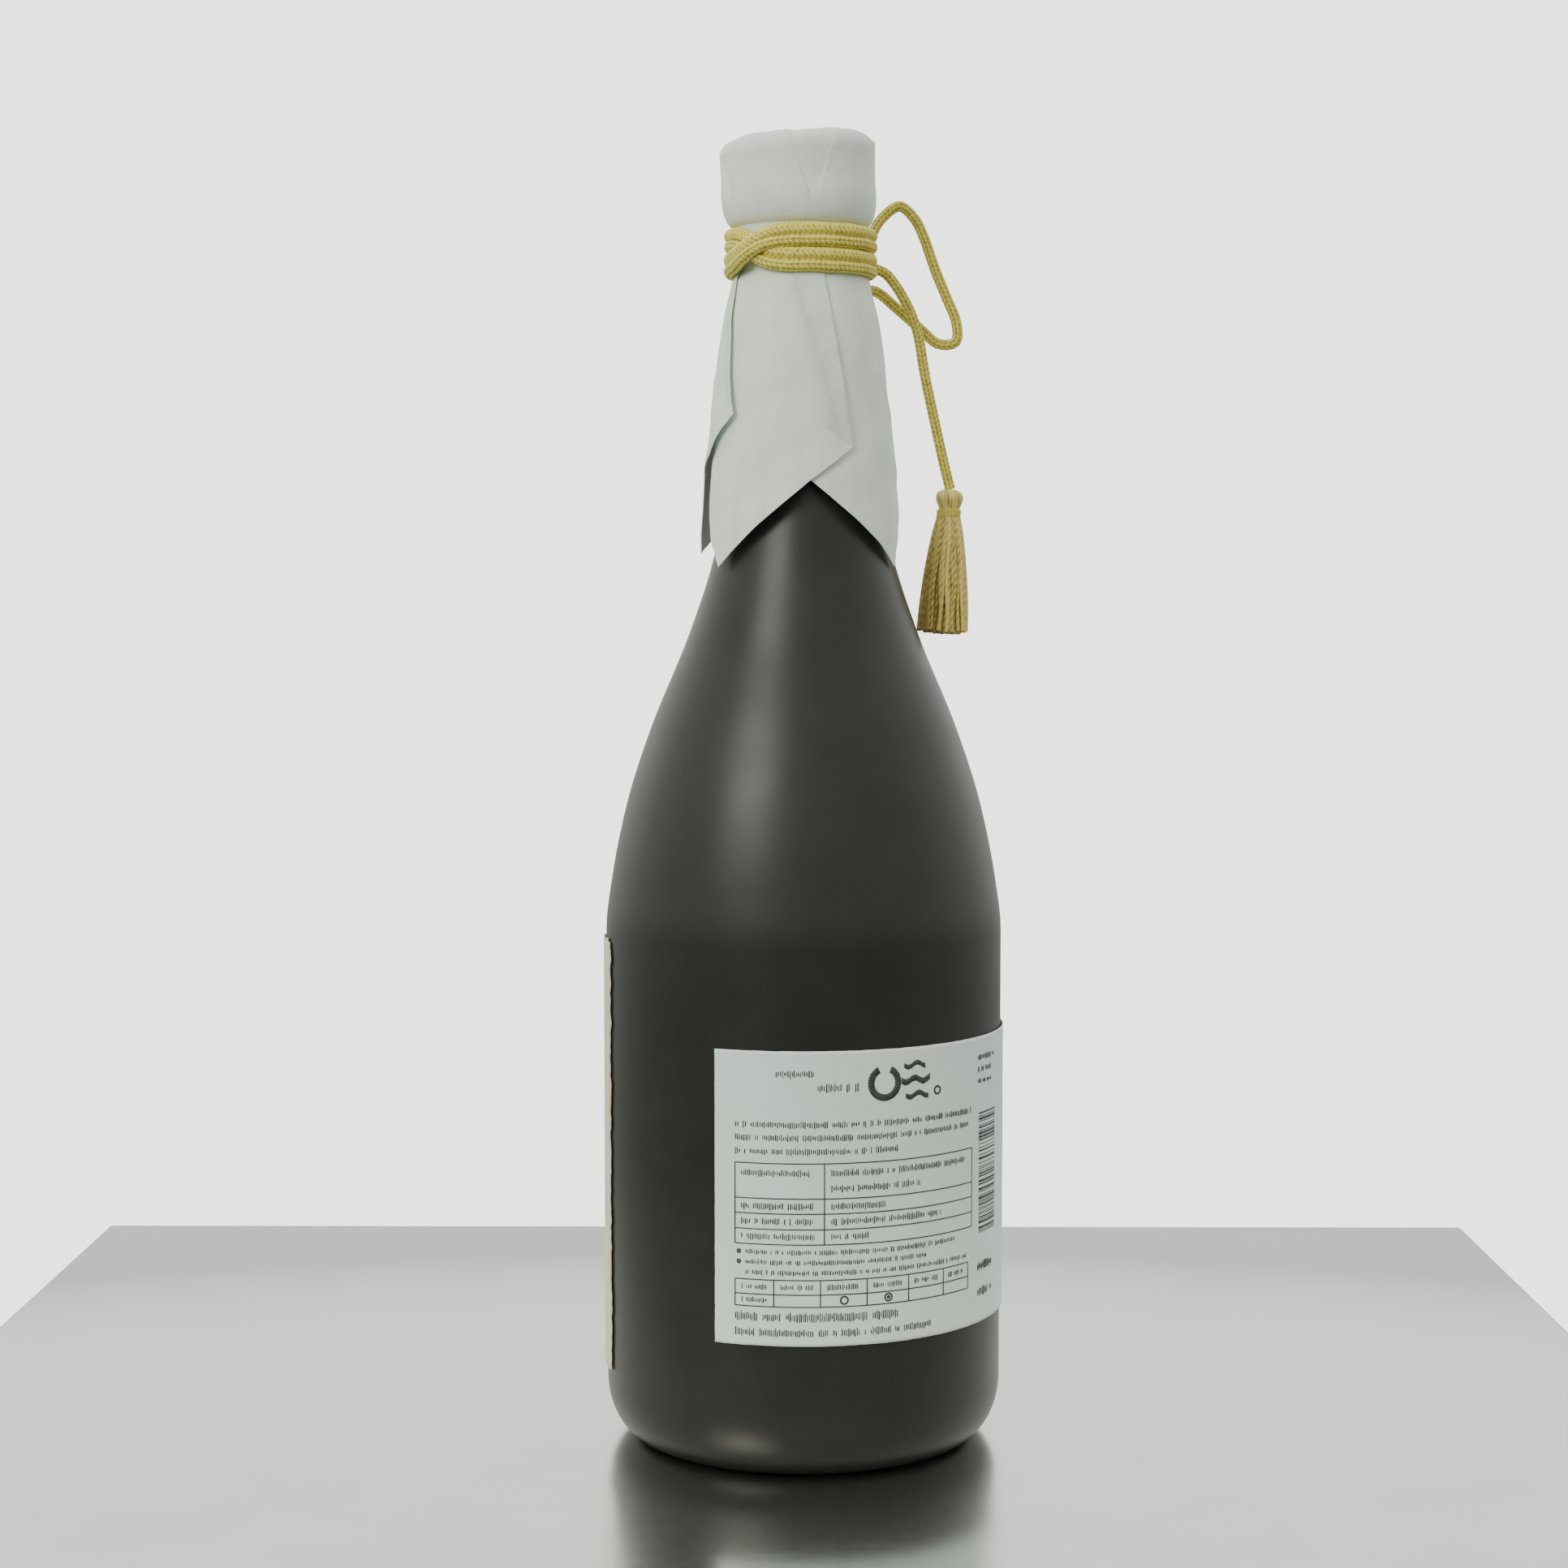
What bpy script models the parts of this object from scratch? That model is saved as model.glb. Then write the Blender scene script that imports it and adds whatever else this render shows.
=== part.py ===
"""Sake bottle with a pull-out stopper, a tied paper hood and a tasselled cord.

Metres, +Z up. The origin is the centre of the base, on the surface the bottle stands on.
The back label faces between -Y and +X, and the front label is opposite it.
Azimuths are measured from -Y towards +X.
"""

import math

import bmesh
import bpy
from mathutils import Vector

MM = 0.001
GAP = 0.0003                      # clearance between pieces that touch on the real object

# Glass
BODY_RADIUS = 0.0425
MOUTH_HEIGHT = 0.2617
WALL = 0.0030
BORE_RADIUS = 0.00925
NECK_RADIUS = 0.0121
LIP_RADIUS = 0.0121
HEEL_WIDTH = 0.0085               # half axes of the heel's elliptical rounding
HEEL_HEIGHT = 0.0130
RESTING_RING_WIDTH = 0.0040
PUSH_UP_HEIGHT = 0.0060           # how far the underside domes up inside the resting ring
BASE_THICKNESS = 0.0048
BOTTLE_STEPS = 40

# Shoulder and neck stations above the straight wall: height, outer radius
SHOULDER = [
    (0.1096, BODY_RADIUS), (0.1208, 0.0412), (0.1365, 0.0380), (0.1522, 0.0330),
    (0.1730, 0.0245), (0.1886, 0.0194), (0.2080, 0.0153), (0.2300, 0.0128), (0.2480, NECK_RADIUS),
]

# Labels
LABEL_THICKNESS = 0.00025
BACK_LABEL = {"bottom": 0.0289, "top": 0.0893, "start": -24.8, "end": 97.0}
FRONT_LABEL = {"bottom": 0.0160, "top": 0.1080, "start": 151.6, "end": 287.5}

# Stopper
HEAD_RADIUS = 0.0148
HEAD_HEIGHT = 0.0154
HEAD_WALL = 0.0016
PLUG_LENGTH = 0.0220
PLUG_RADIUS = 0.0084
RIB_RADIUS = BORE_RADIUS - GAP
RIB_COUNT = 3

# Paper hood
PAPER = 0.00035
HOOD_TOP = 0.2786
HOOD_CAP_RADIUS = 0.01655
HOOD_WAIST_RADIUS = 0.0136
HOOD_SKIRT_RADIUS = 0.0212
HOOD_LEAN = -0.0009               # the slack paper sits this far to -X at its top
HOOD_LEAN_START = 0.1900          # below this height it doesn't lean
HOOD_STEPS = 36
SKIRT_ROWS = 5

# The hood over the stopper and under the cord: radius, height, from the top's edge downwards
HOOD_OVER_STOPPER = [
    (0.0100, HOOD_TOP), (HOOD_CAP_RADIUS - 0.0030, HOOD_TOP - 0.0003),
    (HOOD_CAP_RADIUS - 0.0008, HOOD_TOP - 0.0018), (HOOD_CAP_RADIUS, HOOD_TOP - 0.0045),
    (HOOD_CAP_RADIUS, 0.2622), (HOOD_WAIST_RADIUS + 0.0012, 0.2598), (HOOD_WAIST_RADIUS, 0.2588),
    (HOOD_WAIST_RADIUS, 0.2480), (HOOD_WAIST_RADIUS + 0.0011, 0.2462),
]
HOOD_ROWS = len(HOOD_OVER_STOPPER) + SKIRT_ROWS

# Hem of the hood: azimuth, height. The four low stations are the sheet's corners.
HEM = [
    (-97, 0.1900), (-76, 0.1970), (-55, 0.1870), (6, 0.2050), (72, 0.1870),
    (120, 0.2040), (165, 0.1880), (215, 0.2050),
]

# Cord
CORD_RADIUS = 0.00115
WRAP_BOTTOM = 0.2482
WRAP_HEIGHT = 0.0050
WRAP_GAP = 0.0004
WRAP_OUTER_RADIUS = 0.0161
WRAP_EDGE = 0.0011
WRAP_LEAN_SHARE = 0.7             # the band stands this share of the hood's lean to -X
KNOT_AZIMUTH = 150.0
KNOT_HALF_SIZE = (0.0050, 0.0034, 0.0040)     # along the neck's turn, outwards, up
KNOT_HEIGHT = 0.2510

# Routes in millimetres, read by a smooth curve
NEAR_LOOP_ROUTE = [
    (13.2, 15.2, 254.9), (15.1, 16.2, 260.0), (17.3, 17.2, 263.4), (20.9, 18.2, 265.9),
    (24.2, 18.8, 263.3), (26.3, 19.0, 259.2), (28.8, 19.0, 252.2), (31.2, 19.0, 246.4),
    (33.4, 19.0, 240.9), (33.3, 19.0, 236.6), (29.4, 19.0, 236.2), (25.4, 19.0, 239.5),
    (20.6, 18.4, 243.6), (16.4, 17.4, 247.0), (13.6, 16.6, 247.6),
]
FAR_LOOP_ROUTE = [
    (6.3, 19.8, 254.9), (4.4, 21.6, 259.4), (2.2, 23.6, 262.6), (-1.6, 26.8, 264.4),
    (-5.2, 29.8, 261.8), (-7.6, 31.8, 257.2), (-9.8, 33.6, 250.8), (-11.6, 34.8, 244.2),
    (-11.6, 34.4, 238.6), (-8.4, 31.8, 236.2), (-3.6, 28.2, 238.8), (0.6, 25.0, 242.6),
    (4.0, 22.4, 246.2), (6.2, 20.4, 247.6),
]
NEAR_TAIL_ROUTE = [
    (15.3, 14.4, 252.0), (17.8, 14.5, 250.9), (20.1, 14.5, 248.2), (22.4, 14.5, 244.3),
    (24.0, 14.5, 240.6), (25.1, 14.5, 236.8), (26.3, 14.5, 229.6), (27.8, 14.5, 222.4),
    (29.3, 14.5, 215.6), (30.6, 14.5, 209.9), (32.0, 14.5, 204.2),
]
# The second tail hangs in the upright plane through the knot: distance from the axis, height
FAR_TAIL_ROUTE = [
    (20.6, 246.4), (20.9, 240.0), (21.2, 232.0), (21.8, 224.0), (22.6, 216.0), (23.9, 208.0), (24.7, 204.2),
]

# Tassel, measured down from the top of its head
TASSEL_HEAD_RADIUS = 0.0030
TASSEL_HEAD_HEIGHT = 0.0040
BINDING_HEIGHT = 0.0016
BINDING_RADIUS = 0.0027
SKIRT_NECK_RADIUS = 0.0019
SKIRT_LENGTH = 0.0256
SKIRT_RADIUS = 0.0054
NEAR_TASSEL_LEAN = 3.0            # degrees from straight down
FAR_TASSEL_LEAN = 12.5


def clear_scene():
    for thing in list(bpy.data.objects):
        bpy.data.objects.remove(thing, do_unlink=True)


def make_material(name, colour, roughness, metallic=0.0):
    material = bpy.data.materials.new(name)
    material.use_nodes = True
    shader = material.node_tree.nodes["Principled BSDF"]
    shader.inputs["Base Color"].default_value = (*colour, 1.0)
    shader.inputs["Roughness"].default_value = roughness
    shader.inputs["Metallic"].default_value = metallic
    return material


def link(name, data, material):
    thing = bpy.data.objects.new(name, data)
    data.materials.append(material)
    PARTS.objects.link(thing)
    return thing


def around(azimuth, radius, height):
    """The point at an azimuth in degrees, a distance from the bottle's axis and a height."""
    angle = math.radians(azimuth)
    return Vector((radius * math.sin(angle), -radius * math.cos(angle), height))


def smooth_value(stations, at):
    """Cubic through (position, value) stations, with slopes that never overshoot them."""
    for index in range(len(stations) - 1):
        if at <= stations[index + 1][0] or index == len(stations) - 2:
            break
    (x0, y0), (x1, y1) = stations[index], stations[index + 1]
    width = x1 - x0
    rise = (y1 - y0) / width

    def slope(before, after):
        return 0.0 if before * after <= 0 else 2 * before * after / (before + after)

    def segment_rise(i):
        if not 0 <= i <= len(stations) - 2:
            return 0.0
        return (stations[i + 1][1] - stations[i][1]) / (stations[i + 1][0] - stations[i][0])

    start_slope = slope(segment_rise(index - 1), rise)
    end_slope = slope(rise, segment_rise(index + 1))
    t = (at - x0) / width
    return (
        y0 * (2 * t**3 - 3 * t**2 + 1)
        + start_slope * width * (t**3 - 2 * t**2 + t)
        + y1 * (3 * t**2 - 2 * t**3)
        + end_slope * width * (t**3 - t**2)
    )


def turned(name, profile, material, steps):
    """A solid of revolution. The (radius, height) profile runs down its outer side."""
    mesh = bpy.data.meshes.new(name)
    vertices = [(radius, 0.0, height) for radius, height in profile]
    edges = [(i, i + 1) for i in range(len(profile) - 1)]
    if profile[0][0] > 0.0:
        edges.append((len(profile) - 1, 0))
    mesh.from_pydata(vertices, edges, [])
    thing = link(name, mesh, material)
    screw = thing.modifiers.new("Turn", "SCREW")
    screw.steps = steps
    screw.render_steps = steps
    screw.use_merge_vertices = True
    screw.merge_threshold = 0.00001
    screw.use_smooth_shade = True
    return thing


def smooth_route(points, spacing):
    """Evenly spaced points on a Catmull-Rom curve through the route's own points."""
    fine = []
    padded = [points[0] * 2 - points[1]] + points + [points[-1] * 2 - points[-2]]
    for a, b, c, d in zip(padded, padded[1:], padded[2:], padded[3:]):
        for step in range(24):
            t = step / 24
            fine.append(0.5 * (
                2 * b + (c - a) * t + (2 * a - 5 * b + 4 * c - d) * t**2 + (3 * b - a - 3 * c + d) * t**3
            ))
    fine.append(points[-1])
    lengths = [0.0]
    for first, second in zip(fine, fine[1:]):
        lengths.append(lengths[-1] + (second - first).length)
    count = max(2, round(lengths[-1] / spacing))
    even = []
    index = 0
    for number in range(count + 1):
        target = lengths[-1] * number / count
        while index < len(fine) - 2 and lengths[index + 1] < target:
            index += 1
        share = (target - lengths[index]) / (lengths[index + 1] - lengths[index])
        even.append(fine[index].lerp(fine[index + 1], share))
    return even


def cord_tube(name, route, material):
    """A plain tube along a smooth route given in metres."""
    curve = bpy.data.curves.new(name, "CURVE")
    curve.dimensions = "3D"
    curve.bevel_depth = CORD_RADIUS
    curve.bevel_resolution = 2
    curve.use_fill_caps = True
    points = smooth_route(route, 2.2 * 2 * CORD_RADIUS)
    spline = curve.splines.new("POLY")
    spline.points.add(len(points) - 1)
    for target, point in zip(spline.points, points):
        target.co = (*point, 1.0)
    return link(name, curve, material)


def glass_radius(height):
    return smooth_value(SHOULDER, height) if height > SHOULDER[0][0] else BODY_RADIUS


def build_bottle():
    resting_radius = BODY_RADIUS - HEEL_WIDTH
    floor_height = PUSH_UP_HEIGHT + BASE_THICKNESS
    inner_radius = BODY_RADIUS - WALL
    top_of_wall = SHOULDER[0][0]

    # inside, from the floor's centre up to the mouth
    profile = [(0.0, floor_height), (0.6 * inner_radius, floor_height - 0.0012)]
    for step in range(1, 5):
        angle = math.radians(90 * step / 4)
        fillet = 0.011
        profile.append((
            inner_radius - fillet + fillet * math.sin(angle),
            floor_height - 0.0030 + fillet * (1 - math.cos(angle)),
        ))
    profile.append((inner_radius, top_of_wall))
    inside_heights = [0.1208, 0.1312, 0.1417, 0.1522, 0.1626, 0.1730, 0.1834, 0.1960, 0.2080]
    for height in inside_heights:
        profile.append((max(BORE_RADIUS, glass_radius(height) - WALL), height))
    profile.append((BORE_RADIUS, 0.2300))
    profile.append((BORE_RADIUS, MOUTH_HEIGHT - 0.0008))

    # the lip
    profile.append((BORE_RADIUS + 0.0008, MOUTH_HEIGHT))
    profile.append((LIP_RADIUS - 0.0010, MOUTH_HEIGHT))
    profile.append((LIP_RADIUS, MOUTH_HEIGHT - 0.0010))
    profile.append((LIP_RADIUS, MOUTH_HEIGHT - 0.0030))

    # outside, down the neck, the shoulder and the wall
    outside_heights = [0.2570, 0.2480, 0.2300, 0.2180, 0.2080, 0.1980, 0.1886, 0.1808, 0.1730, 0.1626, 0.1522,
                       0.1443, 0.1365, 0.1286, 0.1208, 0.1150, 0.1096]
    for height in outside_heights:
        radius = NECK_RADIUS if height > SHOULDER[-1][0] else glass_radius(height)
        profile.append((radius, height))

    # the heel, then the resting ring and the push-up
    for step in range(7):
        angle = math.radians(90 * step / 6)
        profile.append((
            resting_radius + HEEL_WIDTH * math.cos(angle),
            HEEL_HEIGHT * (1 - math.sin(angle)),
        ))
    dome_radius = resting_radius - RESTING_RING_WIDTH
    profile.append((dome_radius, 0.0))
    for share in (0.85, 0.6, 0.3):
        profile.append((dome_radius * share, PUSH_UP_HEIGHT * (1 - share**2)))
    profile.append((0.0, PUSH_UP_HEIGHT))
    return turned("bottle", profile, FROSTED_GLASS, BOTTLE_STEPS)


def build_label(name, size, material):
    """A strip of paper bent round the glass: one upright edge turned about the axis."""
    radius = BODY_RADIUS + GAP
    mesh = bpy.data.meshes.new(name)
    start = around(size["start"], radius, 0.0)
    top = (start.x, start.y, size["top"])
    bottom = (start.x, start.y, size["bottom"])
    mesh.from_pydata([top, bottom], [(0, 1)], [])
    label = link(name, mesh, material)
    screw = label.modifiers.new("Bend", "SCREW")
    screw.angle = math.radians(size["end"] - size["start"])
    screw.steps = 26
    screw.render_steps = 26
    screw.use_smooth_shade = True
    shell = label.modifiers.new("Thickness", "SOLIDIFY")
    shell.thickness = LABEL_THICKNESS
    shell.offset = 1.0
    return label


def build_stopper():
    seat = MOUTH_HEIGHT + GAP
    flange_top = seat + 0.0014
    cavity_radius = HEAD_RADIUS - HEAD_WALL
    flange_radius = cavity_radius - GAP
    post_radius = 0.0060
    post_top = seat + HEAD_HEIGHT - HEAD_WALL - GAP
    bottom = seat - PLUG_LENGTH
    hollow_radius = PLUG_RADIUS - 0.0020

    plug = [(0.0, post_top), (post_radius, post_top), (post_radius, flange_top)]
    plug += [(flange_radius, flange_top), (flange_radius, seat), (PLUG_RADIUS, seat)]
    for rib in range(RIB_COUNT):
        middle = seat - 0.0060 - rib * 0.0045
        plug += [(PLUG_RADIUS, middle + 0.0009), (RIB_RADIUS, middle), (PLUG_RADIUS, middle - 0.0009)]
    plug += [(PLUG_RADIUS, bottom + 0.0012), (PLUG_RADIUS - 0.0008, bottom), (hollow_radius, bottom)]
    plug += [(hollow_radius, seat - 0.0030), (0.0, seat - 0.0030)]
    turned("stopper_plug", plug, WHITE_POLYETHYLENE, 24)

    rounding = 0.0034
    top = seat + HEAD_HEIGHT
    head = [(0.0, top)]
    for step in range(4):
        angle = math.radians(30 * step)
        head.append((HEAD_RADIUS - rounding * (1 - math.sin(angle)), top - rounding * (1 - math.cos(angle))))
    head += [(HEAD_RADIUS, seat), (cavity_radius, seat)]
    head += [(cavity_radius, top - HEAD_WALL), (0.0, top - HEAD_WALL)]
    turned("stopper_head", head, BLACK_PLASTIC, 32)


def hem_height(azimuth):
    """Height of the hood's lower edge, swinging evenly between the hem's stations."""
    stations = HEM + [(HEM[0][0] + 360, HEM[0][1])]
    while azimuth < stations[0][0]:
        azimuth += 360
    for (a0, z0), (a1, z1) in zip(stations, stations[1:]):
        if azimuth <= a1:
            share = (azimuth - a0) / (a1 - a0)
            return z0 + (z1 - z0) * share
    return stations[-1][1]


def hood_point(azimuth, row):
    """A point of the hood's outside. The first rows lie over the stopper, the rest hang as a skirt."""
    if row < len(HOOD_OVER_STOPPER):
        radius, height = HOOD_OVER_STOPPER[row]
    else:
        share = (row - len(HOOD_OVER_STOPPER) + 1) / SKIRT_ROWS
        start_radius, start_height = HOOD_OVER_STOPPER[-1]
        radius = start_radius + (HOOD_SKIRT_RADIUS - start_radius) * math.sin(math.radians(90 * share))
        height = start_height + (hem_height(azimuth) - start_height) * share
    point = around(azimuth, radius, height)
    rise = (height - HOOD_LEAN_START) / (HOOD_TOP - HOOD_LEAN_START)
    point.x += HOOD_LEAN * max(0.0, rise)
    return point


def build_hood():
    """One sheet of paper over the stopper: rings of points skinned into an open shell."""
    shell = bmesh.new()
    rings = []
    for row in range(HOOD_ROWS):
        ring = []
        for step in range(HOOD_STEPS):
            ring.append(shell.verts.new(hood_point(360 * step / HOOD_STEPS, row)))
        rings.append(ring)
    for upper, lower in zip(rings, rings[1:]):
        for step in range(HOOD_STEPS):
            after = (step + 1) % HOOD_STEPS
            shell.faces.new((upper[step], lower[step], lower[after], upper[after]))
    shell.faces.new(rings[0])
    bmesh.ops.recalc_face_normals(shell, faces=shell.faces)
    mesh = bpy.data.meshes.new("paper_hood")
    shell.to_mesh(mesh)
    shell.free()
    mesh.shade_smooth()
    hood = link("paper_hood", mesh, WASHI)
    thickness = hood.modifiers.new("Thickness", "SOLIDIFY")
    thickness.thickness = PAPER
    thickness.offset = -1.0
    return hood


def build_wraps():
    """The cord's turns round the neck, as two bands of its outer shape, one above the other."""
    inner = HOOD_WAIST_RADIUS + GAP
    outer = WRAP_OUTER_RADIUS
    shift = HOOD_LEAN * WRAP_LEAN_SHARE
    for number, name in enumerate(("lower_neck_wrap", "upper_neck_wrap")):
        low = WRAP_BOTTOM + number * (WRAP_HEIGHT + WRAP_GAP)
        high = low + WRAP_HEIGHT
        profile = [
            (inner, high - WRAP_GAP), (outer - WRAP_EDGE, high), (outer, high - WRAP_EDGE),
            (outer, low + WRAP_EDGE), (outer - WRAP_EDGE, low), (inner, low + WRAP_GAP),
        ]
        wrap = turned(name, profile, CORD, 32)
        wrap.location.x = shift


def build_knot():
    reach = WRAP_OUTER_RADIUS + GAP + KNOT_HALF_SIZE[1] + 0.0002
    shape = bmesh.new()
    bmesh.ops.create_uvsphere(shape, u_segments=16, v_segments=10, radius=1.0)
    bmesh.ops.scale(shape, vec=KNOT_HALF_SIZE, verts=shape.verts)
    mesh = bpy.data.meshes.new("bow_knot")
    shape.to_mesh(mesh)
    shape.free()
    mesh.shade_smooth()
    knot = link("bow_knot", mesh, CORD)
    knot.location = around(KNOT_AZIMUTH, reach, KNOT_HEIGHT)
    knot.rotation_euler.z = math.radians(KNOT_AZIMUTH)
    return knot


def build_tassel(prefix, hang):
    """Head, binding and skirt of one tassel, hung from an empty at the cord's end."""
    head_top = 0.0
    head_bottom = -TASSEL_HEAD_HEIGHT
    head = [(0.0, head_top), (0.6 * TASSEL_HEAD_RADIUS, head_top - 0.0003)]
    head += [(TASSEL_HEAD_RADIUS, head_top - 0.0014), (TASSEL_HEAD_RADIUS, head_bottom + 0.0012)]
    head += [(0.8 * TASSEL_HEAD_RADIUS, head_bottom), (0.0, head_bottom)]

    binding_top = head_bottom - GAP
    binding_bottom = binding_top - BINDING_HEIGHT
    inner = SKIRT_NECK_RADIUS + GAP
    edge = 0.0003
    outer = BINDING_RADIUS
    binding = [
        (inner, binding_top), (outer - edge, binding_top), (outer, binding_top - edge),
        (outer, binding_bottom + edge), (outer - edge, binding_bottom), (inner, binding_bottom),
    ]

    skirt_top = head_bottom - GAP
    skirt_bottom = skirt_top - SKIRT_LENGTH
    shoulder = binding_bottom - GAP
    skirt = [(0.0, skirt_top), (SKIRT_NECK_RADIUS, skirt_top), (SKIRT_NECK_RADIUS, shoulder)]
    widths = ((0.0, 0.0026), (0.18, 0.0034), (0.45, 0.0044), (0.75, 0.0051), (0.96, SKIRT_RADIUS))
    for share, radius in widths:
        skirt.append((radius, shoulder + (skirt_bottom - shoulder) * share))
    skirt += [(SKIRT_RADIUS - 0.0008, skirt_bottom), (0.0, skirt_bottom)]

    pieces = [
        turned(prefix + "_tassel_head", head, CORD, 16),
        turned(prefix + "_tassel_binding", binding, YELLOW_THREAD, 16),
        turned(prefix + "_tassel_skirt", skirt, TASSEL_FLOSS, 20),
    ]
    for piece in pieces:
        piece.parent = hang


def hang_point(name, place, azimuth, lean):
    """An empty at a tassel's top, turned so that its own -Z leans outwards along an azimuth."""
    hang = bpy.data.objects.new(name, None)
    PARTS.objects.link(hang)
    hang.location = place
    hang.rotation_mode = "ZYX"
    hang.rotation_euler = (math.radians(lean), 0.0, math.radians(azimuth))
    return hang


def build_free_cord():
    def metres(route):
        return [Vector(point) * MM for point in route]

    cord_tube("near_bow_loop", metres(NEAR_LOOP_ROUTE), CORD)
    cord_tube("far_bow_loop", metres(FAR_LOOP_ROUTE), CORD)
    near_tail = metres(NEAR_TAIL_ROUTE)
    far_tail = [around(KNOT_AZIMUTH, reach * MM, height * MM) for reach, height in FAR_TAIL_ROUTE]
    cord_tube("near_cord_tail", near_tail, CORD)
    cord_tube("far_cord_tail", far_tail, CORD)

    tassels = [
        ("near", near_tail[-1], 90.0, NEAR_TASSEL_LEAN),
        ("far", far_tail[-1], KNOT_AZIMUTH, FAR_TASSEL_LEAN),
    ]
    for prefix, end, azimuth, lean in tassels:
        down = around(azimuth, math.sin(math.radians(lean)), -math.cos(math.radians(lean)))
        top = end + down * GAP
        build_tassel(prefix, hang_point(prefix + "_tassel_hang", top, azimuth, lean))


clear_scene()
PARTS = bpy.data.collections.new("sake_bottle")
bpy.context.scene.collection.children.link(PARTS)

FROSTED_GLASS = make_material("frosted_glass", (0.030, 0.030, 0.026), 0.45)
BACK_PAPER = make_material("back_label_paper", (0.52, 0.58, 0.54), 0.60)
FRONT_PAPER = make_material("front_label_washi", (0.60, 0.58, 0.38), 0.80)
WHITE_POLYETHYLENE = make_material("white_polyethylene", (0.80, 0.80, 0.78), 0.45)
BLACK_PLASTIC = make_material("black_plastic", (0.03, 0.03, 0.03), 0.35)
WASHI = make_material("washi", (0.66, 0.72, 0.68), 0.80)
CORD = make_material("cord", (0.52, 0.45, 0.13), 0.75)
YELLOW_THREAD = make_material("yellow_thread", (0.58, 0.50, 0.09), 0.55)
TASSEL_FLOSS = make_material("tassel_floss", (0.46, 0.37, 0.13), 0.60)

build_bottle()
build_label("back_label", BACK_LABEL, BACK_PAPER)
build_label("front_label", FRONT_LABEL, FRONT_PAPER)
build_stopper()
build_hood()
build_wraps()
build_knot()
build_free_cord()
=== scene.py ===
"""Finished looks of a frosted sake bottle with a tied paper hood, a tasselled cord and two labels.

Metres, +Z up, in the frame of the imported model. Azimuths are in degrees from -Y towards +X.
"""

import logging
import math
import random
from collections.abc import Callable, Iterable
from dataclasses import dataclass, field
from enum import Enum

import bpy
import numpy as np
from mathutils import Matrix, Vector, noise


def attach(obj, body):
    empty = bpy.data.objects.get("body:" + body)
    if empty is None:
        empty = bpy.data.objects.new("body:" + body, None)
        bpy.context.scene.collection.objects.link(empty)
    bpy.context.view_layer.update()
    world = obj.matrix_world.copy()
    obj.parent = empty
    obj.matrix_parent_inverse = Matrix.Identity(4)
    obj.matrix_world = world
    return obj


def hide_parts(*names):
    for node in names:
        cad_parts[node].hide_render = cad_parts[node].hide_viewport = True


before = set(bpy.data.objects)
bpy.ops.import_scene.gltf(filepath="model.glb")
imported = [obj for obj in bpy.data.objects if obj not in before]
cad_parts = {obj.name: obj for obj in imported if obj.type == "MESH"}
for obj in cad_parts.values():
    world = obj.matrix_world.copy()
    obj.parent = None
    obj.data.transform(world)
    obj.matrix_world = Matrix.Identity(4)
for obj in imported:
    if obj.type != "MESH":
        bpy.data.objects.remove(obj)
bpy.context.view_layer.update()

LOG = logging.getLogger("sake_bottle")
MM = 0.001
FULL_TURN = 2 * math.pi

Relief = Callable[[np.ndarray, np.ndarray], np.ndarray]
Piece = bpy.types.Object
Material = bpy.types.Material
Tree = bpy.types.NodeTree
Node = bpy.types.Node
Socket = bpy.types.NodeSocket


# ---------------------------------------------------------------- small tools

def linear(code: str) -> tuple[float, float, float, float]:
    """Turn an sRGB hex colour into linear light.

    Args:
        code: The colour as "#rrggbb".

    Returns:
        Red, green, blue and alpha.
    """
    channels = [int(code[i:i + 2], 16) / 255 for i in (1, 3, 5)]
    light = [c / 12.92 if c <= 0.04045 else ((c + 0.055) / 1.055) ** 2.4 for c in channels]
    return (light[0], light[1], light[2], 1.0)


def around(azimuth: float, radius: float, height: float) -> Vector:
    """The point at an azimuth in degrees, a distance from the bottle's axis and a height."""
    angle = math.radians(azimuth)
    return Vector((radius * math.sin(angle), -radius * math.cos(angle), height))


def blend_between(stations: list[tuple[float, float]], at: float) -> float:
    """Read a value on straight lines between stations.

    Args:
        stations: Pairs of place and value, in rising order of place.
        at: The place to read.

    Returns:
        The value there, held constant past the ends.
    """
    places = [place for place, _ in stations]
    values = [value for _, value in stations]
    return float(np.interp(at, places, values))


def smooth_route(points: list[Vector], spacing: float) -> list[Vector]:
    """Read evenly spaced points from a Catmull-Rom curve.

    Args:
        points: The route's own points.
        spacing: The distance between the points returned.

    Returns:
        The points, from the first to the last of the route.
    """
    fine: list[Vector] = []
    padded = [points[0] * 2 - points[1]] + points + [points[-1] * 2 - points[-2]]
    steps = 24
    for a, b, c, d in zip(padded, padded[1:], padded[2:], padded[3:]):
        for step in range(steps):
            t = step / steps
            fine.append(0.5 * (
                2 * b + (c - a) * t + (2 * a - 5 * b + 4 * c - d) * t**2 + (3 * b - a - 3 * c + d) * t**3
            ))
    fine.append(points[-1])
    lengths = np.concatenate([[0.0], np.cumsum([(q - p).length for p, q in zip(fine, fine[1:])])])
    count = max(2, round(lengths[-1] / spacing))
    targets = np.linspace(0.0, lengths[-1], count + 1)
    table = np.array([tuple(point) for point in fine])
    columns = [np.interp(targets, lengths, table[:, axis]) for axis in range(3)]
    return [Vector(place) for place in zip(*columns)]


def select_none() -> None:
    """Leave object mode's selection empty, so that an operator acts on a new piece alone."""
    if bpy.context.object and bpy.context.object.mode != "OBJECT":
        bpy.ops.object.mode_set(mode="OBJECT")
    bpy.ops.object.select_all(action="DESELECT")


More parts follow.
